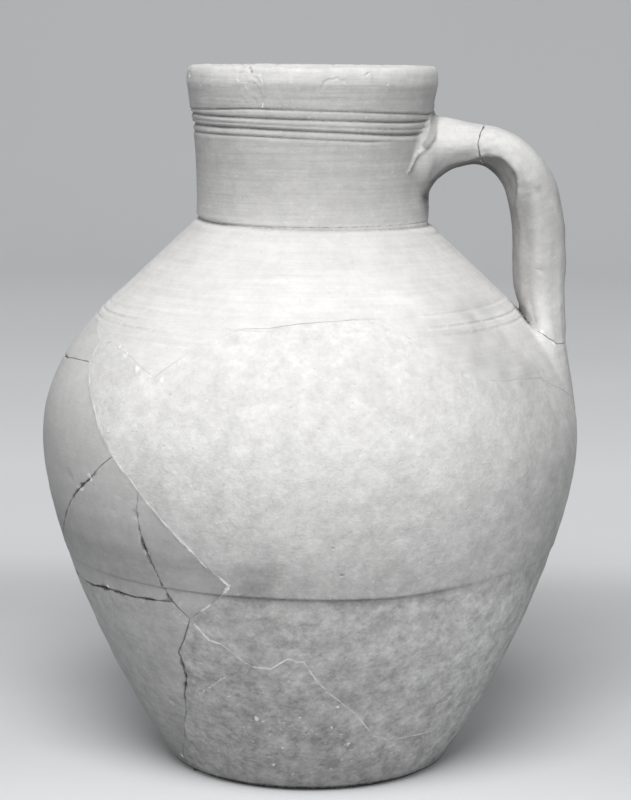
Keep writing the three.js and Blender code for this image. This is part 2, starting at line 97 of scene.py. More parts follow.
# Rounding between the handle and the wall, by height
FILLETS = ((144, 3.0), (158, 7.0), (168, 8.0), (182, 3.0), (215, 5.0), (230, 5.0), (240, 3.0))

# Where the handle is felt: least x, widest y, least and most z
HANDLE_ZONE = (34, 34, 134, 266)

# Where it isn't, at the foot of the neck: most x, and how far up and down
NECK_FOOT_ZONE = (60, 4)

# How far the solid's faces may lie under the smooth outside and how squarely they face out
SKIN_DEPTH = 2.2
HANDLE_SKIN_DEPTH = 3.6
FACING = 0.4

# How points are moved onto the smooth outside, and how close two points are one
MOVING_ROUNDS = 4
MOST_MOVED = 1.5
MOST_MOVED_ON_HANDLE = 1.2
LEAST_STEEPNESS = 0.7
SLOPE_STEP = 0.05
SAME_POINT = 0.002
SAME_STRIP_POINT = 0.01

# How far below its top the lip is flat, how far down its points are evened out, and how often
CROWN_DEPTH = 2.2
EVENED_DEPTH = 2.6
EVENING_ROUNDS = 5

# Camera, as worked out from the photograph: place in millimetres, angles in degrees, reach in metres
IMAGE_HEIGHT = 800
FOCAL_PIXELS = 2314.28
SENSOR = 36.0
CAMERA_PLACE = (50.13, -915.46, 288.3)
CAMERA_TURN = 3.0
CAMERA_DIP = 8.905
CAMERA_ROLL = 0.353
NEAREST_SEEN = 0.05
FARTHEST_SEEN = 20

# Fineness of the dressed surfaces
SKIN_EDGE = 2.4
HANDLE_EDGE = 1.5
BREAK_LINE_EDGE = 0.45
BREAK_LINE_GROWTH = 0.75
FEATURE_EDGE = 0.65
FEATURE_GROWTH = 0.4
INSIDE_EDGE = 4.5
FOOT_FACE_EDGE = 4.0
BREAK_FACE_EDGE = 2.4
HANDLE_FINE_FROM_X = 44
BANDS_UP_TO_X = 60
REFINE_ROUNDS = 14
LEADING_SHARE = 0.66
LINE_SPACING = 0.8

# Bands of the skin with turned lines: lowest and highest z, and how many times finer they are up and down
FINE_BANDS = ((248, 263, 2.8), (178, 188.5, 1.75), (84, 89, 4.5), (270, 278, 1.6), (0, 3, 3.0))
GROOVE_REACH = 1.5
GROOVE_FINENESS = 6.0

# Kinds of face
SKIN, INSIDE, FOOT, BREAK = 0, 1, 2, 3


# Outline

def bezier(points):
    share = np.linspace(0, 1, CURVE_POINTS)[:, None]
    level = [np.array(point, float)[None, :] for point in points]
    while len(level) > 1:
        level = [a * (1 - share) + b * share for a, b in zip(level, level[1:])]
    return level[0]


def wall_line():
    flank = bezier([
        (FOOT_RADIUS, 0),
        (FOOT_RADIUS + FOOT_FLARE_OUT, FOOT_FLARE_UP),
        (BELLY_RADIUS, BELLY_HEIGHT - FLANK_FULLNESS),
        (BELLY_RADIUS, BELLY_HEIGHT),
    ])
    cone_foot = np.array([CONE_RADIUS, BODY_HEIGHT - CONE_RISE])
    down_cone = cone_foot - np.array([NECK_RADIUS, BODY_HEIGHT])
    down_cone = down_cone / np.linalg.norm(down_cone) * CONE_BLEND
    shoulder = bezier([
        (BELLY_RADIUS, BELLY_HEIGHT),
        (BELLY_RADIUS, BELLY_HEIGHT + SHOULDER_FULLNESS),
        cone_foot + down_cone,
        cone_foot,
    ])
    neck = bezier([
        (NECK_RADIUS, BODY_HEIGHT),
        (NECK_WAIST, BODY_HEIGHT + NECK_HEIGHT / 2),
        (RIM_RADIUS, LIP_TOP - LIP_HEIGHT),
    ])
    lip = bezier([
        (RIM_RADIUS, LIP_TOP - LIP_HEIGHT),
        (RIM_RADIUS, LIP_TOP - LIP_ROUNDING),
        (RIM_RADIUS - 0.1, LIP_TOP),
        (RIM_RADIUS - LIP_TURN_IN, LIP_TOP),
    ])
    return np.vstack([flank, shoulder[1:], neck, lip[1:]])


LINE = wall_line()
HEIGHTS = np.linspace(0, LIP_TOP, HEIGHT_SAMPLES)
RADII = np.interp(HEIGHTS, LINE[:, 1], LINE[:, 0])
SPREADS = np.gradient(RADII, HEIGHTS)
LEANS = 1 / np.sqrt(1 + SPREADS ** 2)
EASED = 2 * EASING + 1
EASY = np.convolve(np.pad(SPREADS, EASING, mode="edge"), np.ones(EASED) / EASED, mode="valid")
WALL_LEANS = 1 / np.sqrt(1 + EASY ** 2)


def radius_at(z):
    return np.interp(z, HEIGHTS, RADII)


def lean_at(z):
    return np.interp(z, HEIGHTS, LEANS)


def spread_at(z):
    return np.interp(z, HEIGHTS, SPREADS)


def inner_radius_at(z):
    low = np.minimum(z, BODY_HEIGHT - WALL / 2)
    body = radius_at(low) - WALL / np.interp(low, HEIGHTS, WALL_LEANS)
    neck = radius_at(z) - WALL
    share = np.clip((z - BODY_HEIGHT + WALL / 2 + NECK_BLEND) / NECK_BLEND, 0, 1)
    return body * (1 - share) + neck * share


def unfaceted(p, sides):
    """Moves points of a turned solid with flat sides out onto its true circles."""
    step = 2 * math.pi / sides
    turn = np.arctan2(p[:, 1], p[:, 0]) + math.pi / 2
    off = (turn % step) - step / 2
    grow = np.cos(off) / math.cos(step / 2)
    moved = p.copy()
    moved[:, 0] *= grow
    moved[:, 1] *= grow
    return moved


# Repeatable noise

def hashed(ix, iy, iz, seed):
    h = ix.astype(np.int64) * 374761393 + iy.astype(np.int64) * 668265263
    h = h + iz.astype(np.int64) * 2147483647 + seed * 974634777
    h = (h ^ (h >> 13)) * 1274126177
    h = h ^ (h >> 16)
    return (h & 0xFFFFFF) / float(0x7FFFFF) - 1.0


def noise(p, cell, seed):
    """Smooth noise between -1 and 1. Cell is one size, or one for each axis."""
    q = p / np.asarray(cell, float)
    base = np.floor(q)
    f = q - base
    f = f * f * (3 - 2 * f)
    base = base.astype(np.int64)
    total = 0
    for dx in (0, 1):
        wx = f[:, 0] if dx else 1 - f[:, 0]
        for dy in (0, 1):
            wy = f[:, 1] if dy else 1 - f[:, 1]
            for dz in (0, 1):
                wz = f[:, 2] if dz else 1 - f[:, 2]
                corner = hashed(base[:, 0] + dx, base[:, 1] + dy, base[:, 2] + dz, seed)
                total = total + wx * wy * wz * corner
    return total


# Small shared sums

def smooth_step(low, high, x):
    t = np.clip((x - low) / (high - low), 0, 1)
    return t * t * (3 - 2 * t)


def window(x, start, full, last, end):
    """0 up to the start, 1 from full to last, and 0 again from the end."""
    return smooth_step(start, full, x) * smooth_step(end, last, x)


def peak(x, width):
    """1 where x is zero, falling off on both sides."""
    return np.exp(-(x / width) ** 2)


def radius_of(p):
    return np.hypot(p[:, 0], p[:, 1])


def away_from(p, place):
    return np.linalg.norm(p - place, axis=1)


def unit(v, least=1e-9):
    return v / np.maximum(np.linalg.norm(v, axis=1), least)[:, None]


def front_half(p):
    """Points with those behind the handle's middle plane folded over to its front."""
    return p * np.array([1, 0, 1]) - np.abs(p) * np.array([0, 1, 0])


# Handle

def handle_stations():
    neck_face = float(radius_at(BODY_HEIGHT + ROOT_RISE))
    root_height = BODY_HEIGHT + ROOT_RISE
    crest_height = BODY_HEIGHT + CREST_RISE
    pad_height = BODY_HEIGHT - PAD_DROP

    def arch(out, down, turn, thickness, width):
        x = neck_face + (HANDLE_REACH - neck_face) * out
        z = crest_height + (pad_height - crest_height) * down
        return (x, z, turn, thickness, width)

    def drawn(out, down, turn, share):
        thickness = ROOT_THICKNESS + (CREST_THICKNESS - ROOT_THICKNESS) * share
        width = ROOT_WIDTH + (CREST_WIDTH - ROOT_WIDTH) * share
        return arch(out, down, turn, thickness, width)

    def pad(down, turn, lift, thickness, width):
        z = crest_height + (pad_height - crest_height) * down
        return (float(radius_at(z)) + lift, z, turn, thickness, width)

    inside = neck_face - WALL - ROOT_SMEAR / 2
    rows = np.array([
        (inside, root_height, 0, ROOT_THICKNESS + ROOT_SMEAR / 2, ROOT_WIDTH + ROOT_SMEAR),
        (neck_face, root_height, 0, ROOT_THICKNESS, ROOT_WIDTH),
        drawn(0.085, 0.02, 4, 0.47),
        drawn(0.207, 0.003, 5, 0.78),
        drawn(0.39, 0, 10, 1),
        arch(0.59, 0.015, 27, CREST_THICKNESS, CREST_WIDTH),
        arch(0.77, 0.068, 48, CREST_THICKNESS * 1.1, CREST_WIDTH),
        arch(0.9, 0.152, 65, GRIP_THICKNESS * 0.95, GRIP_WIDTH),
        arch(0.975, 0.276, 82, GRIP_THICKNESS * 0.98, GRIP_WIDTH),
        arch(1, 0.43, 87, GRIP_THICKNESS, GRIP_WIDTH),
        arch(1.01, 0.567, 98, GRIP_THICKNESS * 0.94, GRIP_WIDTH),
        pad(0.745, 108, PAD_LIFT, PAD_THICKNESS, PAD_WIDTH),
        pad(0.873, 107, -PAD_SINK, PAD_THICKNESS * 0.8, PAD_WIDTH),
        pad(1, 105, -PAD_SINK, WALL, PAD_END_WIDTH),
    ], float)
    middle = through(rows[:, :2], HANDLE_STATIONS)
    shape = through(rows[:, [3, 4, 2]], HANDLE_STATIONS)
    return np.column_stack([middle, shape[:, 2], shape[:, :2]])


def through(rows, count):
    """Centripetal Catmull-Rom curve through rows, as evenly spaced shares of its spans."""
    padded = np.vstack([2 * rows[0] - rows[1], rows, 2 * rows[-1] - rows[-2]])
    gap = np.linalg.norm(np.diff(padded, axis=0), axis=1) ** 0.5
    at = np.linspace(0, len(rows) - 1 - 1e-9, count)
    i = at.astype(int)
    t = (at - i)[:, None]
    a, b, c, d = padded[i], padded[i + 1], padded[i + 2], padded[i + 3]
    before, here, after = gap[i][:, None], gap[i + 1][:, None], gap[i + 2][:, None]
    leave = ((b - a) / before - (c - a) / (before + here) + (c - b) / here) * here
    arrive = ((c - b) / here - (d - b) / (here + after) + (d - c) / after) * here
    bend = 3 * (c - b) - 2 * leave - arrive
    return b + leave * t + bend * t ** 2 + (2 * (b - c) + leave + arrive) * t ** 3


STATIONS = handle_stations()
STATION_TURN = np.radians(STATIONS[:, 2])
STATION_OUT = np.stack([np.sin(STATION_TURN), np.cos(STATION_TURN)], 1)
STATION_ALONG = np.stack([np.cos(STATION_TURN), -np.sin(STATION_TURN)], 1)


def handle_place(p):
    """Share along the handle, offsets out and aside, half thickness, half width and reach past its ends."""
    results = []
    for start in range(0, len(p), HANDLE_BATCH):
        part = p[start:start + HANDLE_BATCH]
        dx = part[:, 0:1] - STATIONS[None, :, 0]
        dz = part[:, 2:3] - STATIONS[None, :, 1]
        ahead = dx * STATION_ALONG[None, :, 0] + dz * STATION_ALONG[None, :, 1]
        out = dx * STATION_OUT[None, :, 0] + dz * STATION_OUT[None, :, 1]
        crossing = (ahead[:, :-1] >= 0) & (ahead[:, 1:] < 0)
        far = np.abs(out[:, :-1]) + np.where(crossing, 0, 1e6)
        k = np.argmin(far, axis=1)
        row = np.arange(len(part))
        found = crossing[row, k]
        past = (ahead[:, -1] > 0) & ~found
        before = (ahead[:, 0] < 0) & (np.hypot(out[:, 0], ahead[:, 0]) < far[row, k])
        found = found & ~before
        k = np.where(past, HANDLE_STATIONS - 2, np.where(before, 0, k))
        w0, w1 = ahead[row, k], ahead[row, k + 1]
        t = np.where(found, w0 / np.where(found, w0 - w1, 1), past)
        u = out[row, k] * (1 - t) + out[row, k + 1] * t
        half = STATIONS[k, 3] * (1 - t) + STATIONS[k + 1, 3] * t
        wide = STATIONS[k, 4] * (1 - t) + STATIONS[k + 1, 4] * t
        share = (k + t) / (HANDLE_STATIONS - 1)
        beyond = np.where(before, -ahead[:, 0], np.where(found, 0, OFF_THE_ENDS))
        beyond = np.where(past, ahead[:, -1], beyond)
        results.append(np.stack([share, u, part[:, 1], half / 2, wide / 2, beyond], 1))
    return np.vstack(results)


def handle_field(p):
    _, u, v, half, wide, beyond = handle_place(p).T
    q = np.sqrt((u / half) ** 2 + (v / wide) ** 2)
    g = np.sqrt((u / half ** 2) ** 2 + (v / wide ** 2) ** 2)
    f = (q - 1) * q / np.maximum(g, 1e-6)
    return np.where(f > 0, np.hypot(f, beyond), f + beyond)


def body_field(p):
    z = np.clip(p[:, 2], 0, LIP_TOP)
    return (radius_of(p) - radius_at(z)) * lean_at(z)


def handle_share(p):
    """1 on the handle, and 0 on the wall away from it."""
    return smooth_step(3.5, 0.5, handle_field(p))


def joined_field(p):
    a, b = body_field(p), handle_field(p)
    fillet = np.interp(p[:, 2], *zip(*FILLETS))
    h = np.clip(0.5 + 0.5 * (b - a) / fillet, 0, 1)
    return b * (1 - h) + a * h - fillet * h * (1 - h)


def joined_slope(p, f0):
    """Slope of the joined field along each axis, where f0 is its value at the points."""
    g = np.empty_like(p)
    for axis in range(3):
        moved = p.copy()
        moved[:, axis] += SLOPE_STEP
        g[:, axis] = (joined_field(moved) - f0) / SLOPE_STEP
    return g


def joined_gradient(p, f0):
    return unit(joined_slope(p, f0))


def body_normal(p):
    r = np.maximum(radius_of(p), 1e-6)
    z = np.clip(p[:, 2], 0, LIP_TOP)
    lean = lean_at(z)
    return np.stack([p[:, 0] / r * lean, p[:, 1] / r * lean, -spread_at(z) * lean], 1)


def near_handle(p):
    least_x, widest_y, least_z, most_z = HANDLE_ZONE
    corner_x, corner_z = NECK_FOOT_ZONE
    inside = (p[:, 0] > least_x) & (np.abs(p[:, 1]) < widest_y)
    inside &= (p[:, 2] > least_z) & (p[:, 2] < most_z)
    return inside & ((p[:, 0] > corner_x) | (np.abs(p[:, 2] - BODY_HEIGHT) > corner_z))


def onto_skin(p):
    """Points moved onto the smooth outside, and the outward direction there."""
    p = p.copy()
    handle = near_handle(p)
    for _ in range(MOVING_ROUNDS):
        normal = body_normal(p)
        shift = np.clip(body_field(p), -MOST_MOVED, MOST_MOVED)
        if handle.any():
            f = joined_field(p[handle])
            slope = joined_slope(p[handle], f)
            steep = np.maximum(np.linalg.norm(slope, axis=1), LEAST_STEEPNESS)
            normal[handle] = slope / steep[:, None]
            shift[handle] = np.clip(f / steep, -MOST_MOVED_ON_HANDLE, MOST_MOVED_ON_HANDLE)
        p -= normal * shift[:, None]
    normal = body_normal(p)
    if handle.any():
        normal[handle] = joined_gradient(p[handle], joined_field(p[handle]))
    return p, normal


# Reading and refining a solid

def read_solid(obj):
    mesh = obj.data
    mesh.calc_loop_triangles()
    co = np.empty(len(mesh.vertices) * 3)
    mesh.vertices.foreach_get("co", co)
    co = co.reshape(-1, 3) / MM
    tris = np.empty(len(mesh.loop_triangles) * 3, np.int64)
    mesh.loop_triangles.foreach_get("vertices", tris)
    key = np.round(co / SAME_POINT).astype(np.int64)
    _, first, inverse = np.unique(key, axis=0, return_index=True, return_inverse=True)
    tris = inverse.ravel()[tris].reshape(-1, 3)
    a, b, c = tris.T
    tris = tris[(a != b) & (b != c) & (c != a)]
    return co[first], tris


def face_normals(verts, faces):
    a, b, c = verts[faces[:, 0]], verts[faces[:, 1]], verts[faces[:, 2]]
    return unit(np.cross(b - a, c - a), 1e-12)


def face_kinds(verts, faces):
    centre = verts[faces].mean(1)
    n = face_normals(verts, faces)
    r = np.maximum(radius_of(centre), 1e-6)
    z = centre[:, 2]
    out = centre[:, :2] / r[:, None]
    across = np.abs(n[:, 0] * -out[:, 1] + n[:, 1] * out[:, 0])
    kinds = np.full(len(faces), BREAK)
    facing = (n * body_normal(centre)).sum(1)
    depth = body_field(centre)
    least = np.full(len(centre), -SKIN_DEPTH)
    handle = near_handle(centre)
    if handle.any():
        f = joined_field(centre[handle])
        facing[handle] = (n[handle] * joined_gradient(centre[handle], f)).sum(1)
        depth[handle] = f
        least[handle] = -HANDLE_SKIN_DEPTH
    kinds[(facing > FACING) & (depth > least)] = SKIN
    inner = r < radius_at(z) - WALL * 0.6
    kinds[inner & (facing < -FACING)] = INSIDE
    kinds[(z < FOOT_THICKNESS + 8) & (z > FOOT_THICKNESS - 0.5) & inner & (n[:, 2] > 0.3)] = INSIDE
    kinds[(z < 0.05) & (n[:, 2] < -0.9)] = FOOT
    lip = (z > LIP_TOP - LIP_HEIGHT) & (across < 0.5)
    kinds[lip & (r > RIM_RADIUS - WALL - 0.3) & (n[:, 2] > 0.2)] = SKIN
    return kinds


def unique_edges(faces):
    pairs = np.vstack([faces[:, [0, 1]], faces[:, [1, 2]], faces[:, [2, 0]]])
    pairs.sort(axis=1)
    code = pairs[:, 0] * (faces.max() + 1) + pairs[:, 1]
    _, first, inverse = np.unique(code, return_index=True, return_inverse=True)
    return pairs[first], inverse.ravel().reshape(3, -1).T


def edge_limits(verts, edges, face_edges, kinds, near, feature):
    limit = np.full(len(edges), 1e9)
    for kind, size in ((INSIDE, INSIDE_EDGE), (FOOT, FOOT_FACE_EDGE), (BREAK, BREAK_FACE_EDGE)):
        used = face_edges[kinds == kind].ravel()
        limit[used] = np.minimum(limit[used], size)
    used = np.unique(face_edges[kinds == SKIN].ravel())
    close = np.minimum(near[edges[used, 0]], near[edges[used, 1]])
    size = np.clip(BREAK_LINE_EDGE + BREAK_LINE_GROWTH * close, BREAK_LINE_EDGE, SKIN_EDGE)
    middle = verts[edges[used]].mean(1)
    fine = (middle[:, 0] > HANDLE_FINE_FROM_X) & near_handle(middle)
    size = np.where(fine, np.minimum(size, HANDLE_EDGE), size)
    from_feature = np.minimum(feature[edges[used, 0]], feature[edges[used, 1]])
    size = np.minimum(size, FEATURE_EDGE + FEATURE_GROWTH * from_feature)
    limit[used] = np.minimum(limit[used], size)
    return limit


def edge_lengths(verts, edges, on_skin):
    a, b = verts[edges[:, 0]], verts[edges[:, 1]]
    d = b - a
    middle = (a[:, 2] + b[:, 2]) / 2
    stretch = np.ones(len(edges))
    off_handle = (a[:, 0] + b[:, 0]) / 2 < BANDS_UP_TO_X
    for low, high, factor in FINE_BANDS:
        stretch = np.where((middle > low) & (middle < high) & on_skin & off_handle, factor, stretch)
    from_groove = np.abs(middle - ring_at(NECK_GROOVE, azimuth_of((a + b) / 2)))
    stretch = np.where((from_groove < GROOVE_REACH) & on_skin, GROOVE_FINENESS, stretch)
    d[:, 2] *= stretch
    return np.linalg.norm(d, axis=1)


def split_faces(faces, kinds, face_edges, mark, middle):
    m = mark[face_edges]
    count = m.sum(1)
    out, tags = [faces[count == 0]], [kinds[count == 0]]

    def add(rows, kind):
        out.append(np.stack(rows, 1))
        tags.append(kind)

    for turn in range(3):
        order = [turn, (turn + 1) % 3, (turn + 2) % 3]
        v = faces[:, order]
        e = face_edges[:, order]
        one = (count == 1) & m[:, order[0]]
        a, b, c = v[one].T
        mid = middle[e[one, 0]]
        add((a, mid, c), kinds[one])
        add((mid, b, c), kinds[one])
        two = (count == 2) & ~m[:, order[2]]
        a, b, c = v[two].T
        p, q = middle[e[two, 0]], middle[e[two, 1]]
        add((p, b, q), kinds[two])
        add((a, p, q), kinds[two])
        add((a, q, c), kinds[two])
    three = count == 3
    a, b, c = faces[three].T
    p, q, r = (middle[face_edges[three, i]] for i in range(3))
    for rows in ((a, p, r), (p, b, q), (r, q, c), (p, q, r)):
        add(rows, kinds[three])
    return np.vstack(out), np.concatenate(tags)


def refine(verts, faces, kinds, distance):
    near = distance(verts)
    feature = feature_distance(verts)
    for _ in range(REFINE_ROUNDS):
        edges, face_edges = unique_edges(faces)
        on_skin = np.zeros(len(edges), bool)
        on_skin[face_edges[kinds == SKIN].ravel()] = True
        length = edge_lengths(verts, edges, on_skin)
        limit = edge_limits(verts, edges, face_edges, kinds, near, feature)
        longest = length[face_edges].max(1)
        leading = np.zeros(len(edges), bool)
        leading[face_edges[length[face_edges] >= LEADING_SHARE * longest[:, None]]] = True
        mark = (length > limit) & leading
        if not mark.any():
            break
        middle = np.full(len(edges), -1)
        middle[mark] = len(verts) + np.arange(mark.sum())
        added = verts[edges[mark]].mean(1)
        verts = np.vstack([verts, added])
        near = np.concatenate([near, distance(added)])
        feature = np.concatenate([feature, feature_distance(added)])
        faces, kinds = split_faces(faces, kinds, face_edges, mark, middle)
    return verts, faces, kinds


def border(faces, kinds):
    """Directed edges of the skin that meet a break face."""
    edges, face_edges = unique_edges(faces)
    has_break = np.zeros(len(edges), bool)
    has_break[face_edges[kinds == BREAK].ravel()] = True
    chosen = np.flatnonzero(kinds == SKIN)
    rows = []
    for i in range(3):
        hit = chosen[has_break[face_edges[chosen, i]]]
        rows.append(np.stack([faces[hit, i], faces[hit, (i + 1) % 3]], 1))
    return np.vstack(rows)


class NearLine:
    """Nearest point on a set of straight pieces, found through points sampled along them."""

    def __init__(self, starts, ends):
        self.starts, self.ends = starts, ends
        self.middles = (starts + ends) / 2
        length = np.linalg.norm(ends - starts, axis=1)
        steps = np.maximum(np.ceil(length / LINE_SPACING).astype(int), 1)
        self.owner = np.repeat(np.arange(len(starts)), steps)
        offset = np.concatenate([np.arange(n) + 0.5 for n in steps]) / np.repeat(steps, steps)
        points = starts[self.owner] + (ends - starts)[self.owner] * offset[:, None]
        self.tree = KDTree(len(points))
        for i, point in enumerate(points):
            self.tree.insert(point, i)
        self.tree.balance()

    def query(self, p):
        find = self.tree.find
        found = np.array([find(point)[1] for point in p.tolist()], dtype=np.int64)
        owner = self.owner[found] if len(p) else found
        a = self.starts[owner]
        run = self.ends[owner] - a
        t = ((p - a) * run).sum(1) / np.maximum((run ** 2).sum(1), 1e-9)
        close = a + run * np.clip(t, 0, 1)[:, None]
        return np.linalg.norm(p - close, axis=1), owner


# Turned lines: heights round the jug, by azimuth

ANGLES = np.arange(-180, 180, 0.5)
RING_SOFTENING = 24


def ring(points):
    around, heights = zip(*points)
    values = np.interp(ANGLES, around, heights, period=360)
    weights = np.hanning(2 * RING_SOFTENING + 1)
    padded = np.concatenate([values[-RING_SOFTENING:], values, values[:RING_SOFTENING]])
    return np.convolve(padded, weights / weights.sum(), mode="valid")


def ring_at(heights, azimuth):
    return np.interp(azimuth, ANGLES, heights, period=360)


RIM_GROOVES = [ring(points) for points in (
    ((-154, 260.9), (-115, 261.8), (-92, 261.3), (-65, 260.7), (-16, 259.3), (90, 260.3)),
    ((-166, 259.2), (-116, 258.3), (-83, 257.7), (-43, 256.7), (20, 256.9), (90, 258.2)),
    ((-165, 256.9), (-116, 256.1), (-83, 255.2), (-42, 253.9), (20, 253.9), (90, 255.6)),
    ((-165, 255.1), (-116, 254.4), (-83, 253.4), (-42, 251.9), (20, 252.0), (90, 253.8)),
    ((-174, 252.1), (-116, 251.5), (-83, 250.5), (-59, 249.6), (20, 249.0), (90, 250.8)),
)]

# Depth of each groove of the rim, and its width below and above
GROOVE_SIZES = (
    (0.65, 0.6, 0.28), (0.95, 0.75, 0.38), (0.35, 0.45, 0.25), (1.1, 1.0, 0.42), (0.6, 0.6, 0.28),
)

NECK_GROOVE = ring((
    (-172, 218.4), (-144, 217.4), (-119, 216.9), (-92, 216.6), (-38, 216.1), (0, 215.6), (90, 217),
))
SHOULDER_LINES = [ring(points) for points in (
    ((-166, 185.2), (-142, 186.0), (-90, 185.9), (-56, 186.5), (-14, 187.8), (90, 186.5)),
    ((-166, 182.7), (-134, 182.7), (-100, 182.0), (-60, 182.4), (0, 183.6), (90, 182.8)),
    ((-166, 180.2), (-125, 179.7), (-90, 179.3), (-40, 180.0), (0, 180.9), (90, 180.4)),
)]
STEP = ring((
    (-145, 87.1), (-100, 86.4), (-80, 85.8), (-65, 86.0), (-50, 87.7), (-35, 88.6), (30, 87.5),
    (120, 86.2),
))

# How strong the step is, by azimuth
STEP_STRENGTH = (
    (-165, 0.1), (-150, 0.2), (-125, 0.3), (-111, 0.4), (-103, 0.95), (-70, 1.0), (-50, 0.55),
    (-30, 0.25), (0, 0.4), (60, 0.6), (150, 0.3),
)


def uneven_groove(s, below, above):
    """1 in the bottom of a groove, falling off by one width below it and another above it."""
    return np.exp(-(s / np.where(s < 0, below, above)) ** 2)


def azimuth_of(p):
    return np.degrees(np.arctan2(p[:, 1], p[:, 0]))


def point_at(*place):
    """A point, from its azimuth and height on the wall or from itself."""
    if len(place) == 3:
        return np.array(place)
    turn, height = math.radians(place[0]), place[1]
    r = float(radius_at(height))
    return np.array([r * math.cos(turn), r * math.sin(turn), height])


def placed(rows):
    """Rows of azimuth, height and other values, with the point on the wall in place of the first two."""
    return [(point_at(*row[:2]), *row[2:]) for row in rows]


def step_strength_at(azimuth):
    return np.interp(azimuth, *zip(*STEP_STRENGTH), period=360)


def turned_relief(p, free):
    """Grooves, lines, step and unevenness of the turned wall, and the web under the handle's root."""
    azimuth, z = azimuth_of(p), p[:, 2]
    along = p * np.array([1, 1, 0])
    lively = 1 + 0.25 * noise(along, 16, 5)
    d = np.zeros(len(p))
    for i, (heights, (depth, below, above)) in enumerate(zip(RIM_GROOVES, GROOVE_SIZES)):
        fade = smooth_step(-40, -62, azimuth) + smooth_step(20, 60, azimuth) if i == 4 else 1
        d -= depth * lively * fade * uneven_groove(z - ring_at(heights, azimuth), below, above)
    left = smooth_step(-110, -165, azimuth)
    s = z - ring_at(NECK_GROOVE, azimuth)
    d -= (0.8 + 0.2 * left) * lively * uneven_groove(s, 0.8 + 0.35 * left, 0.7)
    d += 0.3 * peak(s + 1.9, 0.9)
    d -= 0.28 * peak(s + 3.3, 0.45) * smooth_step(-1.2, 0.4, noise(along, 22, 8))
    for i, heights in enumerate(SHOULDER_LINES):
        fade = 0.35 + 0.65 * smooth_step(-0.7, 0.5, noise(along, 30, 11 + i))
        if i == 2:
            fade = fade * (1 - 0.8 * window(azimuth, -115, -104, -76, -66))
        s = z - ring_at(heights, azimuth)
        d -= 0.38 * fade * uneven_groove(s, 0.5, 0.3)
        d += 0.14 * fade * (peak(s - 0.8, 0.4) + peak(s + 1.0, 0.4))
    s = z - ring_at(STEP, azimuth)
    strong = step_strength_at(azimuth)
    d -= strong * 0.75 * window(s, -9, -0.4, -0.1, 0.35)
    d -= strong * 0.35 * uneven_groove(s + 0.1, 0.5, 0.35)
    d += strong * 0.3 * window(s, -0.1, 0.5, 0.6, 9)
    streaks = noise(p, (34, 34, 0.95), 21) + 0.6 * noise(p, (50, 50, 0.5), 22)
    d += 0.05 * streaks * window(z, 262, 263, 270, 271.5)
    d += 0.22 * noise(p, (70, 70, 9), 23) * smooth_step(214, 222, z)
    d += 0.12 * noise(p, (90, 90, 5), 24)
    patch = window(azimuth, -123, -120, -110.5, -107)
    patch = patch * smooth_step(262, 264.5, z)
    crumbly = noise(p, 1.9, 25) + 0.7 * noise(p, 1.0, 26)
    d += patch * (0.2 * crumbly - 0.5 * smooth_step(0.75, 1.2, crumbly))
    below_root = peak(azimuth + 3, 22) * window(z, 215.5, 219, 222, 229)
    below_root = below_root * smooth_step(56, 50, radius_of(p))
    return d * free + 1.1 * below_root


def hollow(p, centre, radius, depth, rim=0.0):
    """A shallow round hollow, with a raised rim if one is given."""
    t = away_from(p, centre) / radius
    return -depth * np.clip(1 - t ** 2, 0, 1) ** 1.3 + rim * peak(t - 1.05, 0.18)


def scattered(seed, count, low, high):
    """Places on the wall, the same each run: azimuth, height and a third number from 0 to 1."""
    made = np.random.default_rng(seed)
    return np.stack([made.uniform(-180, 180, count), made.uniform(low, high, count), made.random(count)], 1)


def pits(p, seed, count, low, high, least, most, depth):
    """Scattered round hollows."""
    d = np.zeros(len(p))
    for azimuth, height, size in scattered(seed, count, low, high):
        radius = least + (most - least) * size ** 3
        centre = point_at(azimuth, height)
        near = np.abs(p - centre).max(1) < radius * 1.5
        d[near] += hollow(p[near], centre, radius, depth * radius)
    return d


def segments_distance(p, corners):
    """Distance to an open row of corners, and the share along it."""
    corners = np.array(corners, float)
    best = np.full(len(p), 1e9)
    share = np.zeros(len(p))
    for i in range(len(corners) - 1):
        a, run = corners[i], corners[i + 1] - corners[i]
        t = np.clip(((p - a) @ run) / (run @ run), 0, 1)
        away = np.linalg.norm(p - a - t[:, None] * run, axis=1)
        share = np.where(away < best, (i + t) / (len(corners) - 1), share)
        best = np.minimum(best, away)
    return best, share


def feature_distance(p):
    """How far points are from the small features that need a fine surface."""
    away = segments_distance(front_half(p), SMEAR_RIDGE)[0]
    for corners, _, _, _ in SCRATCHES:
        away = np.minimum(away, segments_distance(p, corners)[0])
    for centre, radius, _ in (FLAKE_ARC, RIM_NOTCH, *LIP_CHIPS, *SCARS, *FLECKS):
        away = np.minimum(away, np.maximum(away_from(p, centre) - radius, 0))
    return away


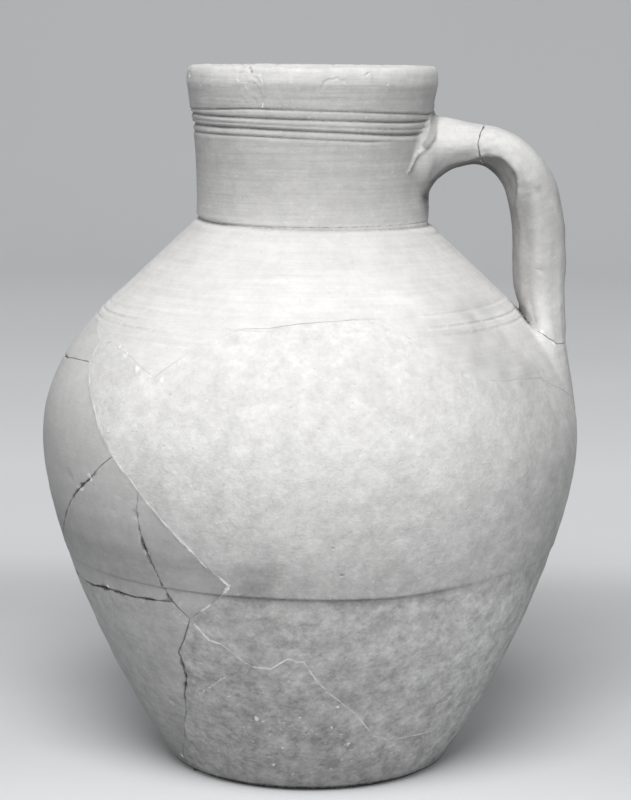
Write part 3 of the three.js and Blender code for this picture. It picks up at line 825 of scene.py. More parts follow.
# Chips at the lip, the notch in it and the half-round flake under it, and the scars near the foot: azimuth,
# height, radius and depth
LIP_CHIPS = placed((
    (-52, 271.4, 0.8, 0.3), (-62, 274.9, 0.8, 0.3), (-161, 274.2, 1.4, 0.6), (-163, 269.8, 0.9, 0.4),
    (-146, 270.5, 0.8, 0.3), (-141, 267.5, 0.7, 0.3), (-150, 267.0, 0.6, 0.25), (-72, 276.5, 1.2, 0.35),
    (-103, 276.8, 1.0, 0.3), (40, 274.8, 2.1, 0.8), (118, 275.0, 2.6, 0.9), (165, 272.5, 1.5, 0.5),
))
RIM_NOTCH, FLAKE_ARC = placed(((-120.5, 277.6, 2.4, 1.5), (-77.2, 268.9, 5.0, 0.5)))
SCARS = placed((
    (-109, 44, 1.9, 0.5), (-103, 34.6, 2.0, 0.6), (-97, 35, 1.2, 0.5), (-94, 33.5, 1.1, 0.5),
    (-76, 24.3, 1.3, 0.55), (-73, 20.3, 1.5, 0.6), (-77, 27, 1.1, 0.4), (-82, 13, 1.4, 0.4),
    (-100, 17, 1.3, 0.4), (-126, 38, 1.4, 0.4), (-131, 30, 1.1, 0.4), (-139, 62, 1.4, 0.5),
    (-143, 53, 1.2, 0.5), (-118, 24, 1.2, 0.4), (-80, 96.1, 0.8, 0.6), (-82, 106.8, 0.7, 0.6),
    (-117, 141.1, 0.8, 0.6), (-85, 150.1, 0.7, 0.5), (30, 40, 2.2, 0.6), (75, 60, 1.8, 0.5),
    (110, 28, 2.4, 0.6), (150, 50, 1.7, 0.5),
))

# White flecks of lime and plaster: azimuth, height, radius and how white
FLECKS = placed((
    (-102, 34.2, 1.5, 0.6), (-100, 33.2, 1.0, 0.5), (-109, 43.2, 1.0, 0.6), (-79, 40.1, 1.0, 0.75),
    (-74, 22.5, 1.2, 0.6), (-89, 35.7, 0.7, 0.6), (-80, 30.9, 0.8, 0.6), (-87, 28.4, 0.7, 0.5),
    (-77, 26.8, 0.9, 0.6), (-106, 25.1, 0.7, 0.4), (-99, 12.6, 0.7, 0.6), (-119, 16.1, 1.1, 0.35),
    (-95, 20.9, 1.0, 0.45), (-95, 72.3, 0.6, 0.6), (-131, 34.7, 1.3, 0.35), (-95, 38.7, 0.6, 0.4),
    (-65, 17.2, 0.7, 0.4), (-79, 11.1, 1.0, 0.4), (-119, 77.4, 0.5, 0.4), (-117.6, 76.2, 0.5, 0.4),
    (-119, 74.8, 1.0, 0.25), (-116.5, 73.4, 0.9, 0.25), (-140, 81.2, 0.8, 0.75), (-139, 173.1, 1.0, 0.6),
    (-135, 170.7, 1.2, 0.7), (-129, 167.0, 1.4, 0.7), (-124, 165.2, 1.0, 0.7), (-121, 164.3, 1.3, 0.75),
    (-132, 144.0, 0.7, 0.7), (60, 95, 1.0, 0.5), (95, 140, 0.8, 0.5), (130, 70, 1.0, 0.5),
    (170, 120, 0.8, 0.5),
))

# Scratches: corners, half width, depth and how white
SCRATCHES = [(np.array([point_at(*corner) for corner in corners]), *rest) for corners, *rest in (
    (((-113, 28.2), (-108, 22.0), (-102, 19.3), (-99, 21.9), (-98, 30.4)), 0.55, 0.5, 0.3),
    (((-119, 41.9), (-110, 50.5), (-105, 53.9)), 0.45, 0.35, 0.4),
    (((-107, 31.9), (-106, 26.0), (-104, 22.6)), 0.45, 0.35, 0.45),
    (((-121, 277.0), (-120.5, 272.3)), 0.4, 0.55, 0.5),
    (((-110, 274.5), (-108.5, 271), (-109.5, 266), (-110, 262.5)), 0.5, 0.25, 0.7),
    (((-129, 120.9), (-125.5, 119.0)), 0.6, 0.1, 0.5),
    (((-127, 119.6), (-121, 119.8)), 0.5, 0.1, 0.4),
    (((41.0, -21.6, 243.2), (43.0, -19.9, 245.2), (44.8, -18.7, 246.2)), 0.6, -0.3, 0.75),
    (((38.1, -24.9, 237.0), (39.4, -23.2, 239.8), (41.6, -21.1, 242.3)), 0.55, -0.3, 0.75),
    (((49.3, -0.5, 262.6), (49.1, 0.0, 259.6)), 0.5, -0.2, 0.6),
    (((42.0, -18.0, 231.2), (45.3, -13.7, 230.6)), 0.4, 0.35, 0.0),
    (((42.4, -17.0, 229.9), (44.8, -12.8, 229.0)), 0.4, 0.35, 0.0),
    (((83.3, -41.9, 169.7), (90.4, -39.0, 161.8)), 0.6, 0.3, 0.0),
    (((91.2, -35.3, 162.9), (96.2, -29.7, 157.5)), 0.5, 0.3, 0.0),
)]

# Edges of the clay smeared from the root of the handle over the neck, on its front half
SMEAR_RIDGE = (
    (49.0, 0.0, 262.2), (49.4, -4.1, 257.6), (48.9, -10.0, 253.8), (47.7, -15.9, 249.7),
    (44.7, -18.8, 246.0), (41.7, -21.0, 243.8), (38.4, -24.5, 237.1),
)
SMEAR_STRAND = (
    (48.2, -1.0, 259.8), (45.3, -14.0, 254.9), (43.9, -17.7, 250.5), (44.3, -18.7, 246.7),
)


def marks_relief(p):
    """Chips, scars, flecks, scratches, the notch and the flake."""
    d = np.zeros(len(p))
    wavy = p + 0.55 * noise(p, 1.5, 62)[:, None]
    for centre, radius, depth in LIP_CHIPS:
        d += hollow(wavy, centre, radius, depth)
    for centre, radius, depth in SCARS:
        d += hollow(wavy, centre, radius, depth, 0.08)
    for centre, radius, _ in FLECKS:
        d -= 0.5 * hollow(wavy, centre, radius, 0.3)
    for corners, width, depth, _ in SCRATCHES:
        away, _ = segments_distance(wavy, corners)
        d -= depth * (0.7 + 0.5 * noise(p, 3, 63)) * peak(away, width)
    d += hollow(wavy, *RIM_NOTCH)
    centre, radius, depth = FLAKE_ARC
    t = away_from(wavy, centre) / radius + 0.1 * noise(p, 2.6, 64)
    upper = smooth_step(-0.2, 0.35, (p[:, 2] - centre[2]) / radius)
    broken = 0.35 + 0.65 * smooth_step(-0.5, 0.2, noise(p, 2.2, 65))
    d -= depth * (0.6 * peak(t - 0.9, 0.1) * broken + 0.25 * smooth_step(1.0, 0.75, t)) * upper
    return d


def smear_relief(p):
    """Ridges of the clay smeared over the neck."""
    wavy = front_half(p) + 0.5 * noise(p, 4, 70)[:, None]
    away, share = segments_distance(wavy, SMEAR_RIDGE)
    swell = 0.75 + 0.4 * noise(p, 3.5, 71)
    d = swell * peak(away, 0.85) * smooth_step(1.0, 0.9, share)
    away, _ = segments_distance(wavy, SMEAR_STRAND)
    d += 0.45 * swell * peak(away, 0.8)
    return d


# Lower edge of the handle's front face: share along the handle, turn from its outer face, and how far its
# underside is cut in
UNDERSIDE = (
    (0.0, 142, 0.4), (0.15, 142, 0.6), (0.3, 138, 0.8), (0.35, 122, 1.3), (0.41, 104, 1.9),
    (0.48, 106, 1.9), (0.52, 116, 1.4), (0.57, 138, 0.3), (0.8, 141, 0.2), (0.86, 150, 0.2),
    (1.0, 150, 0.0),
)

# Dents of the handle: point, radius and depth
HANDLE_DENTS = (
    (68.5, -11.5, 244.0, 2.4, 0.5), (82.0, -12.5, 239.0, 4.5, -0.6), (83.3, -12.6, 231.4, 3.0, 0.6),
    (89.5, -12.4, 230.3, 2.0, 0.6), (84.5, -12.5, 227.5, 2.4, 0.45), (92.3, -12.7, 206.3, 1.2, 0.6),
    (91.4, -12.7, 207.0, 0.8, 0.5), (90.2, -12.8, 198.9, 1.1, 0.6), (92.0, -12.6, 198.0, 0.9, 0.4),
    (74.0, -9.0, 251.0, 0.9, 0.4), (96.0, -10.0, 223.0, 1.6, 0.35), (70, 12, 243, 6, 0.7),
    (92, 12, 215, 6, 0.5), (100, 4, 208, 8, 0.4),
)


def under_turn(share, u, v, half, wide):
    """Turn from the handle's outer face, and the turn at which its underside begins."""
    shares, corners, _ = zip(*UNDERSIDE)
    turn = np.degrees(np.abs(np.arctan2(v / wide, u / half)))
    return turn, np.where(v < 0, np.interp(share, shares, corners), 140)


def handle_relief(p, on_handle):
    """Facets, the cut-in underside, a long ridge and thumb dents of the pulled clay."""
    share, u, v, half, wide, _ = handle_place(p).T
    turn, corner = under_turn(share, u, v, half, wide)
    corner = corner + 3 * noise(p, 9, 80)
    shares, _, cuts = zip(*UNDERSIDE)
    cut = np.where(v < 0, np.interp(share, shares, cuts), 0.7 * smooth_step(0.9, 0.82, share))
    d = -cut * smooth_step(-3, 9, turn - corner) * smooth_step(180, 150, turn)
    d += 0.35 * np.minimum(cut, 1) * peak(turn - corner + 7, 6)
    grip = window(share, 0.52, 0.62, 0.82, 0.9)
    d += 0.45 * peak(turn - 101, 17) * grip
    d -= 0.3 * peak(turn - 122, 14) * grip
    d -= 0.3 * peak(turn - 58, 20) * grip
    d -= 0.9 * smooth_step(0.16, 0.11, share) * smooth_step(105, 150, turn)
    calm = 0.3 + 0.7 * smooth_step(0.1, 0.2, share)
    d += calm * (0.3 * noise(p, 13, 81) + 0.2 * noise(p, 5.5, 82) + 0.06 * noise(p, 2.2, 84))
    along = np.stack([share * 30, np.arctan2(v / wide, u / half) * 3.2, np.zeros(len(p))], 1)
    d += 0.12 * noise(along, (6, 0.55, 1), 83)
    for *centre, radius, depth in HANDLE_DENTS:
        d += hollow(p, np.array(centre), radius, depth, depth * 0.12)
    return d * on_handle


def crevice_at(p):
    """1 in the narrow crevice where the handle's inner face comes down on the shoulder."""
    z = p[:, 2]
    reach = window(z, 175, 180, 194, 200) * (p[:, 0] > 66)
    return reach * peak(handle_field(p) - body_field(p), 1.8)


# Breaks: how each pair of sherds meets

NECK, RIM_LEFT, GRIP = "neck_and_shoulder", "rim_left_sherd", "handle_grip"
SHOULDER_LEFT, BELLY_FRONT, BELLY_BACK = "shoulder_left_sherd", "belly_front_sherd", "belly_back_sherd"
SIDE_ROUND, SIDE_WEDGE, SIDE_POINT = "side_round_sherd", "side_wedge_sherd", "side_point_sherd"
BASE_LEFT, BASE_FRONT = "base_left_sherd", "base_front_sherd"

# Worn width and depth at each lip of the break, raggedness, and the filler
BREAK_STYLES = {
    "plastered": (0.26, 0.2, 0.7, "plaster"),
    "dark": (0.46, 0.85, 0.95, "dirt"),
    "fine": (0.3, 0.45, 0.8, "dirt"),
    "close": (0.1, 0.0, 0.0, "clay"),
}
STYLE_NAMES = list(BREAK_STYLES)
STYLE_FILLS = [row[-1] for row in BREAK_STYLES.values()]

# How far from a break its wear, and its dirt and chalk, can reach
WORN_REACH = 3
DIRT_REACH = 4

# How far each filler lies under the surface: pale plaster, dark dirt and one in the clay's own tone
FILL_DEPTHS = {"plaster": 0.0, "dirt": 1.2, "clay": 0.0}

# Where the dark cracks are wide or faint: azimuth, height, reach and amount
CRACK_SPOTS = placed((
    (-138, 126.8, 4.5, 0.6), (-142, 121.8, 4.5, 0.7), (-152, 106, 8, 0.15), (-124, 104.8, 4, 0.6),
    (-123, 101, 3.5, 0.6), (-122, 96, 4, 0.25), (-119, 86, 4.5, 0.6), (-149, 77.7, 5, 0.4),
    (-143, 81.3, 4.5, 0.8), (-137, 79.8, 4.5, 0.75), (-126, 80.4, 4, 0.55), (-169, 163.7, 4, 0.5),
    (-120, 56.4, 4, 0.2), (-122, 47, 6, 0.25), (-132, 132.5, 5, -0.7), (-124, 118.6, 8, -0.6),
    (-121, 89.5, 3, -0.35), (-122, 80.4, 2.5, -0.35), (-150, 165.2, 6, -1.2), (-156, 79.4, 4, -0.4),
    (-118, 73, 5, -0.7), (-137, 11, 8, -0.5), (-130, 28, 14, -0.3),
))


def crack_strength(p):
    """How wide and dark a crack is, from 0 to about 1.3."""
    strength = 0.34 + 0.3 * noise(p, 7, 33) + 0.34 * noise(p, 2.6, 34)
    for centre, reach, amount in CRACK_SPOTS:
        strength += amount * peak(away_from(p, centre), reach)
    return np.clip(strength, 0, 1.3)


def strength_where(p, close):
    """The strength of the cracks at the close points, and 0 at the others."""
    strength = np.zeros(len(p))
    strength[close] = crack_strength(p[close])
    return strength


def pair_style(a, b):
    pair = {a, b}
    if RIM_LEFT in pair:
        return "close"
    if GRIP in pair:
        return "fine"
    if NECK in pair or pair in ({SHOULDER_LEFT, BELLY_BACK}, {SHOULDER_LEFT, BELLY_FRONT}):
        return "close"
    if BELLY_FRONT in pair or pair == {BELLY_BACK, BASE_FRONT}:
        return "plastered"
    return "dark"


def worn_relief(p, away, styles):
    """Worn lips along the breaks."""
    d = np.zeros(len(p))
    ragged = noise(p, 1.7, 31) + 0.7 * noise(p, 0.9, 32)
    close = away < WORN_REACH
    strength = strength_where(p, close)
    for i, (width, depth, wander, fill) in enumerate(BREAK_STYLES.values()):
        here = (styles == i) & close
        if not here.any():
            continue
        full = strength[here] if fill == "dirt" else np.full(here.sum(), 0.55)
        reach = width * (0.3 + 1.3 * full) * np.clip(1 + wander * ragged[here], 0.25, 2.6)
        t = np.clip(1 - away[here] / reach, 0, 1)
        d[here] = -depth * (0.25 + 0.75 * full) * t ** 1.4
    return d


# The solids, and where their breaks run

solids = {}
for name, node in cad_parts.items():
    verts, faces = read_solid(node)
    solids[name] = (verts, faces, face_kinds(verts, faces))

lines = {}
for name, (verts, faces, kinds) in solids.items():
    edges = border(faces, kinds)
    lines[name] = NearLine(verts[edges[:, 0]], verts[edges[:, 1]])


def neighbours(name):
    """For each piece of a sherd's outline, the name of the sherd on its other side."""
    middles = lines[name].middles
    best = np.full(len(middles), 1e9)
    found = np.full(len(middles), "", dtype=object)
    for other, line in lines.items():
        if other == name:
            continue
        away, _ = line.query(middles)
        closer = away < best
        best[closer] = away[closer]
        found[closer] = other
    return found


across = {name: neighbours(name) for name in lines}


def style_of(name, other, middle):
    """Style at one place of a break. The plaster fades out at both ends of the long light line."""
    style = pair_style(name, other)
    azimuth = math.degrees(math.atan2(middle[1], middle[0]))
    faded_low = {name, other} == {BELLY_FRONT, BASE_FRONT} and -42 < azimuth < 60
    faded_high = {name, other} == {BELLY_FRONT, SIDE_ROUND} and middle[2] > 163
    return STYLE_NAMES.index("close" if faded_low or faded_high else style)


line_styles = {}
for name, line in lines.items():
    line_styles[name] = np.array([style_of(name, *place) for place in zip(across[name], line.middles)])


# Dressing a sherd

def relaxed(p, faces, chosen):
    """Evens out the chosen points among their neighbours."""
    edges, _ = unique_edges(faces)
    use = chosen[edges[:, 0]] | chosen[edges[:, 1]]
    a, b = edges[use].T
    count = np.maximum(np.bincount(np.concatenate([a, b]), minlength=len(p)), 1)[:, None]
    for _ in range(EVENING_ROUNDS):
        total = np.zeros_like(p)
        for axis in range(3):
            total[:, axis] = np.bincount(a, p[b, axis], len(p)) + np.bincount(b, p[a, axis], len(p))
        p = np.where(chosen[:, None], 0.5 * p + 0.5 * total / count, p)
    return p


def points_of(faces, kinds, kind, count):
    used = np.zeros(count, bool)
    used[faces[kinds == kind].ravel()] = True
    return used


# How rough the weathered sherds are, and the others
ROUGH = {BELLY_FRONT: 1.0, BELLY_BACK: 0.9, BASE_FRONT: 0.65}
SMOOTH = 0.25

# Pits: seed, number, lowest and highest place, least and most radius, and depth as a share of it
PITS = (51, 70, 10, 210, 0.9, 2.6, 0.22)


def skin_relief(name, p, away, style):
    """All the relief of a sherd's outside."""
    handle = near_handle(p)
    on_handle = np.zeros(len(p))
    if handle.any():
        on_handle[handle] = handle_share(p[handle])
    free = 1 - on_handle
    d = turned_relief(p, free) + marks_relief(p) * free
    root = handle & (p[:, 0] < 70)
    d[root] += smear_relief(p[root])
    if handle.any():
        d[handle] += handle_relief(p[handle], on_handle[handle])
        d[handle] -= 1.1 * crevice_at(p[handle])
    rough = ROUGH.get(name, SMOOTH)
    d += 0.3 * noise(p, 38, 41) * free
    d += rough * free * (0.13 * noise(p, 6.5, 42) + 0.07 * noise(p, 3.2, 43))
    d += pits(p, *PITS) * free
    if name in (BASE_FRONT, BASE_LEFT):
        ridges = noise(p, (70, 70, 7), 44) + 0.5 * noise(p, (60, 60, 3.2), 45)
        d += 0.16 * ridges * smooth_step(3, 12, p[:, 2])
    d += worn_relief(p, away, style)
    return d * smooth_step(FOOT_EDGE, FOOT_EDGE + 3, p[:, 2])


def inside_relief(p):
    """Throwing rings on the inside."""
    azimuth = azimuth_of(p)
    z = p[:, 2] + azimuth / 360 * 9
    wave = np.sin(z / 9 * 2 * math.pi + 0.8 * noise(p, 30, 91))
    wall = window(p[:, 2], FOOT_THICKNESS + 2, FOOT_THICKNESS + 16, LIP_TOP - 9, LIP_TOP - 3)
    return (0.35 * wave + 0.3 * noise(p, 26, 92)) * wall


def dressed(name):
    """A sherd's refined mesh with its relief, and for each point its break's distance and style."""
    verts, faces, kinds = solids[name]
    line = lines[name]
    verts, faces, kinds = refine(verts, faces, kinds, lambda p: line.query(p)[0])
    count = len(verts)
    skin = points_of(faces, kinds, SKIN, count)
    inside = points_of(faces, kinds, INSIDE, count) & ~skin
    foot = points_of(faces, kinds, FOOT, count)
    radius = radius_of(verts)
    crown = skin & (verts[:, 2] > LIP_TOP - CROWN_DEPTH) & (radius < RIM_RADIUS - LIP_TURN_IN)
    crown &= verts[:, 0] < 60
    p = verts.copy()
    turned = skin & ~near_handle(verts)
    p[turned] = unfaceted(p[turned], OUTER_SIDES)
    p[inside] = unfaceted(p[inside], INNER_SIDES)
    chamfer = skin & (verts[:, 2] < FOOT_EDGE + 0.05)
    free = skin & ~crown & ~foot & ~chamfer
    normal = np.zeros_like(p)
    p[free], normal[free] = onto_skin(p[free])
    lip = (skin | inside) & (p[:, 2] > LIP_TOP - EVENED_DEPTH) & (radius < RIM_RADIUS + 1)
    p = relaxed(p, faces, lip)
    away, owner = line.query(p[free])
    style = line_styles[name][owner]
    relief = skin_relief(name, p[free], away, style)
    fade = smooth_step(LIP_TOP + 0.3, LIP_TOP - 1.5, p[free][:, 2]) * 0.75 + 0.25
    p[free] += normal[free] * (relief * fade)[:, None]
    if inside.any():
        smooth_inner = inside & (p[:, 2] > FOOT_THICKNESS + FLOOR_FILLET) & (p[:, 2] < BODY_HEIGHT - WALL)
        r = np.maximum(radius_of(p), 1e-6)
        target = inner_radius_at(p[:, 2])
        shift = np.where(smooth_inner, np.clip(target - r, -MOST_MOVED, MOST_MOVED), 0)
        shift = shift + inside_relief(p)
        p[:, 0] *= 1 + shift * inside / r
        p[:, 1] *= 1 + shift * inside / r
    near = np.full(count, 50.0)
    near[free] = away
    styles = np.full(count, -1)
    styles[free] = style
    return p, faces, kinds, near, styles, skin


def new_object(name, data):
    obj = bpy.data.objects.new(name, data)
    bpy.context.scene.collection.objects.link(obj)
    return obj


def write_mesh(name, p, faces):
    mesh = bpy.data.meshes.new(name)
    mesh.vertices.add(len(p))
    mesh.vertices.foreach_set("co", (p * MM).ravel())
    mesh.loops.add(len(faces) * 3)
    mesh.loops.foreach_set("vertex_index", faces.ravel().astype(np.int32))
    mesh.polygons.add(len(faces))
    mesh.polygons.foreach_set("loop_start", np.arange(0, len(faces) * 3, 3, dtype=np.int32))
    mesh.update(calc_edges=True)
    mesh.validate()
    return new_object(name, mesh)


def add_attribute(obj, name, values):
    layer = obj.data.attributes.new(name, "FLOAT", "POINT")
    layer.data.foreach_set("value", np.asarray(values, np.float32))


def shade_smooth(obj, faces, kinds):
    """Smooth all over, with an edge kept where the skin turns into a break."""
    mesh = obj.data
    mesh.polygons.foreach_set("use_smooth", np.ones(len(faces), bool))
    edges, face_edges = unique_edges(faces)
    low = np.full(len(edges), 9)
    high = np.full(len(edges), -1)
    for i in range(3):
        np.minimum.at(low, face_edges[:, i], kinds)
        np.maximum.at(high, face_edges[:, i], kinds)
    sharp_pairs = edges[(high == BREAK) & (low != BREAK)]
    own = np.empty(len(mesh.edges) * 2, np.int64)
    mesh.edges.foreach_get("vertices", own)
    own = np.sort(own.reshape(-1, 2), axis=1)
    base = len(mesh.vertices) + 1
    sharp = np.isin(own[:, 0] * base + own[:, 1], sharp_pairs[:, 0] * base + sharp_pairs[:, 1])
    layer = mesh.attributes.new("sharp_edge", "BOOLEAN", "EDGE")
    layer.data.foreach_set("value", sharp)


# Materials

class Nodes:
    """Short way of building a material's nodes."""

    def __init__(self, name):
        self.material = bpy.data.materials.new(name)
        self.material.use_nodes = True
        self.tree = self.material.node_tree
        self.tree.nodes.clear()

    def add(self, kind, inputs=None, **settings):
        node = self.tree.nodes.new("ShaderNode" + kind)
        for key, value in settings.items():
            setattr(node, key, value)
        for key, value in (inputs or {}).items():
            self.feed(node.inputs[key], value)
        return node

    def feed(self, socket, value):
        """Links a node's output to a socket, or sets the socket's own value."""
        if isinstance(value, bpy.types.NodeSocket):
            self.tree.links.new(value, socket)
        else:
            socket.default_value = value

    def noise(self, where, scale, detail, rough):
        node = self.add("TexNoise", {"Vector": where, "Scale": scale, "Detail": detail, "Roughness": rough})
        return node.outputs["Fac"]

    def attribute(self, name):
        return self.add("Attribute", attribute_name=name).outputs["Fac"]

    def ramp(self, value, low, high, to_low=0.0, to_high=1.0):
        names = ("Value", "From Min", "From Max", "To Min", "To Max")
        node = self.add("MapRange", dict(zip(names, (value, low, high, to_low, to_high))), clamp=True)
        return node.outputs["Result"]

    def clouds(self, where, scale, detail, rough, low, high):
        """Noise with its usual range stretched from low to high."""
        return self.ramp(self.noise(where, scale, detail, rough), 0.3, 0.7, low, high)

    def maths(self, operation, a, b):
        node = self.add("Math", operation=operation)
        for socket, value in zip(node.inputs, (a, b)):
            self.feed(socket, value)
        return node.outputs[0]

    def times(self, a, b):
        return self.maths("MULTIPLY", a, b)

    def mix(self, share, a, b, blend="MIX"):
        node = self.add("Mix", data_type="RGBA", blend_type=blend)
        for index, value in ((0, share), (6, a), (7, b)):
            self.feed(node.inputs[index], value)
        return node.outputs[2]

    def grey(self, value):
        node = self.add("CombineColor")
        for socket in node.inputs[:3]:
            self.feed(socket, value)
        return node.outputs[0]

    def bump(self, height, distance, strength, **below):
        """Bumps from a height, on top of the normal of those below where one is given."""
        inputs = {"Height": height, "Distance": distance, "Strength": strength}
        inputs.update(below)
        return self.add("Bump", inputs).outputs[0]

    def surface(self, tinted, rough, specular, bumps):
        names = ("Base Color", "Roughness", "Specular IOR Level", "Normal")
        return self.add("BsdfPrincipled", dict(zip(names, (tinted, rough, specular, bumps)))).outputs[0]

    def finished(self, surface):
        self.add("OutputMaterial", {"Surface": surface})
        return self.material


def colour(value, warm):
    return (value * (1 + warm), value, value * (1 - warm), 1)


def clay(name, base, mottle, speck, grain, wheel, roughness):
    """Fired clay with patches, specks, turning lines and a fine grain. Attributes add dirt, wear, painted
    shade and a painted highlight.
    """
    n = Nodes(name)
    where = n.add("TexCoord").outputs["Object"]
    flat = n.add("Mapping", {"Vector": where, "Scale": (1, 1, 30)}).outputs[0]
    tilted = {"Vector": where, "Rotation": (0.5, 0.6, 0.3), "Scale": (1, 1, 1.2)}
    brushed = n.add("Mapping", tilted).outputs[0]
    patches = n.clouds(where, 26, 3, 0.6, 1 - 0.045, 1 + 0.04)
    blotch = n.clouds(where, 150, 4, 0.6, 1 - mottle, 1 + mottle * 0.75)
    fine_blotch = n.clouds(brushed, 420, 5, 0.75, 1 - mottle, 1 + mottle * 0.7)
    streak = n.clouds(flat, 24, 4, 0.65, 1 - wheel * 0.045, 1 + wheel * 0.035)
    marked = n.times(blotch, n.times(streak, fine_blotch))
    uneven = n.times(n.maths("SUBTRACT", marked, 1.0), n.attribute("contrast"))
    shade = n.times(patches, n.maths("ADD", uneven, 1.0))
    shade = n.times(shade, n.attribute("tone"))
    tinted = n.mix(1.0, colour(base, 0.012), n.grey(shade), "MULTIPLY")
    dark_specks = n.ramp(n.noise(where, 620, 2, 0.5), 0.69, 0.77)
    tinted = n.mix(n.times(dark_specks, speck), tinted, colour(base * 0.5, 0.02))
    pale_specks = n.ramp(n.noise(where, 520, 2, 0.5), 0.31, 0.25)
    tinted = n.mix(n.times(pale_specks, speck), tinted, colour(min(base * 1.4, 0.86), 0.01))
    flaky = n.maths("ADD", n.attribute("chalk"), n.clouds(where, 1000, 3, 0.6, -0.2, 0.2))
    tinted = n.mix(n.ramp(flaky, 0.22, 0.5, 0.0, 0.85), tinted, colour(0.86, 0.01))
    # The dirt attribute darkens the cracks and also carries painted shade in the turned lines and the
    # crevice and a painted contact shadow at the foot
    clumps = n.ramp(n.noise(where, 800, 3, 0.6), 0.35, 0.6, 0.6, 1.1)
    tinted = n.mix(n.times(n.attribute("dirt"), clumps), tinted, colour(0.035, 0.05))
    rough = n.clouds(where, 90, 3, 0.6, roughness - 0.07, roughness + 0.05)
    fine = n.noise(where, 1300, 3, 0.7)
    pitted = n.ramp(n.noise(brushed, 460, 4, 0.7), 0.25, 0.6)
    lines_of_wheel = n.noise(flat, 38, 3, 0.6)
    bumps = n.bump(fine, 0.0001 * grain, 0.8)
    bumps = n.bump(pitted, 0.00011 * grain, 0.7, Normal=bumps)
    bumps = n.bump(lines_of_wheel, 0.0001 * max(wheel, 0.05), 0.8, Normal=bumps)
    return n.finished(n.surface(tinted, rough, 0.25, bumps))


def filler(name, base):
    """Plaster or glue that the mender pressed into a break."""
    n = Nodes(name)
    where = n.add("TexCoord").outputs["Object"]
    blotch = n.clouds(where, 260, 4, 0.6, 0.82, 1.1)
    shade = n.times(blotch, n.attribute("tone"))
    tinted = n.mix(1.0, colour(base, 0.01), n.grey(shade), "MULTIPLY")
    bumps = n.bump(n.noise(where, 900, 3, 0.7), 0.0002, 0.9)
    rough = n.clouds(where, 300, 2, 0.5, 0.86, 0.98)
    return n.finished(n.surface(tinted, rough, 0.2, bumps))


# Clays: base tone, mottling, specks, grain, turning lines and roughness
CLAYS = {
    "smooth_clay": (0.62, 0.04, 0.25, 0.8, 1.1, 0.88),
    "handle_clay": (0.62, 0.05, 0.25, 0.8, 0.15, 0.88),
    "grey_clay": (0.5, 0.05, 0.25, 0.7, 0.4, 0.86),
    "rough_clay": (0.625, 0.1, 0.4, 1.4, 0.3, 0.93),
}
MATERIALS = {name: clay(name, *values) for name, values in CLAYS.items()}
FILLERS = {
    "plaster": filler("pale_plaster", 0.84),
    "dirt": filler("dark_mend", 0.11),
    "clay": filler("toned_mend", 0.61),
}
SLOTS = {
    NECK: "smooth_clay",
    RIM_LEFT: "smooth_clay",
    GRIP: "handle_clay",
    SHOULDER_LEFT: "grey_clay",
    SIDE_ROUND: "grey_clay",
    SIDE_WEDGE: "grey_clay",
    SIDE_POINT: "grey_clay",
    BASE_LEFT: "grey_clay",
    BELLY_FRONT: "rough_clay",
    BELLY_BACK: "rough_clay",
    BASE_FRONT: "rough_clay",
}
GREY_SHERDS = [name for name, slot in SLOTS.items() if slot == "grey_clay"]


def groove_shade(p):
    """Painted shade at the bottom of the turned lines and along the step."""
    azimuth, z = azimuth_of(p), p[:, 2]
    dirt = 0.34 * peak(z - ring_at(NECK_GROOVE, azimuth), 0.5)
    for heights, (depth, below, _) in zip(RIM_GROOVES, GROOVE_SIZES):
        bottom = z - ring_at(heights, azimuth) + 0.1
        dirt = np.maximum(dirt, 0.36 * min(depth, 1) * peak(bottom, 0.5 * below))
    return np.maximum(dirt, 0.2 * step_strength_at(azimuth) * peak(z - ring_at(STEP, azimuth) + 0.15, 0.5))


def dirt_and_shade_on(name, p, near, styles, skin):
    """Dirt in the cracks, with painted shade in the turned lines and the crevice and a painted contact
    shadow at the edge of the foot.
    """
    dirt = np.zeros(len(p))
    ragged = noise(p, 2.5, 131) + 0.6 * noise(p, 1.2, 132)
    close = near < DIRT_REACH
    strength = strength_where(p, close)
    for i, (width, _, _, fill) in enumerate(BREAK_STYLES.values()):
        here = (styles == i) & close
        if fill == "dirt":
            spread = width * (0.4 + 1.6 * strength[here]) * np.clip(0.9 + 0.8 * ragged[here], 0.15, 2)
            dirt[here] = (0.25 + 0.6 * strength[here]) * smooth_step(1.2, 0.3, near[here] / spread)
        if fill == "plaster" and name in GREY_SHERDS:
            edge = window(near[here], 0.35, 0.7, 0.8, 1.7)
            dirt[here] = 0.2 * np.clip(0.6 + ragged[here], 0, 1) * edge
    lines_shade = groove_shade(p)
    handle = near_handle(p)
    if handle.any():
        lines_shade[handle] *= smooth_step(0.5, 2.5, handle_field(p[handle]))
        # Painted shade in the crevice under the handle
        dirt[handle] = np.maximum(dirt[handle], 0.92 * crevice_at(p[handle]))
    dirt = np.maximum(dirt, lines_shade)
    # Painted contact shadow along the bottom edge of the foot
    contact_shadow = 0.96 * smooth_step(2.7, 1.9, p[:, 2]) * (p[:, 2] > 0.02)
    return np.maximum(dirt, contact_shadow) * skin


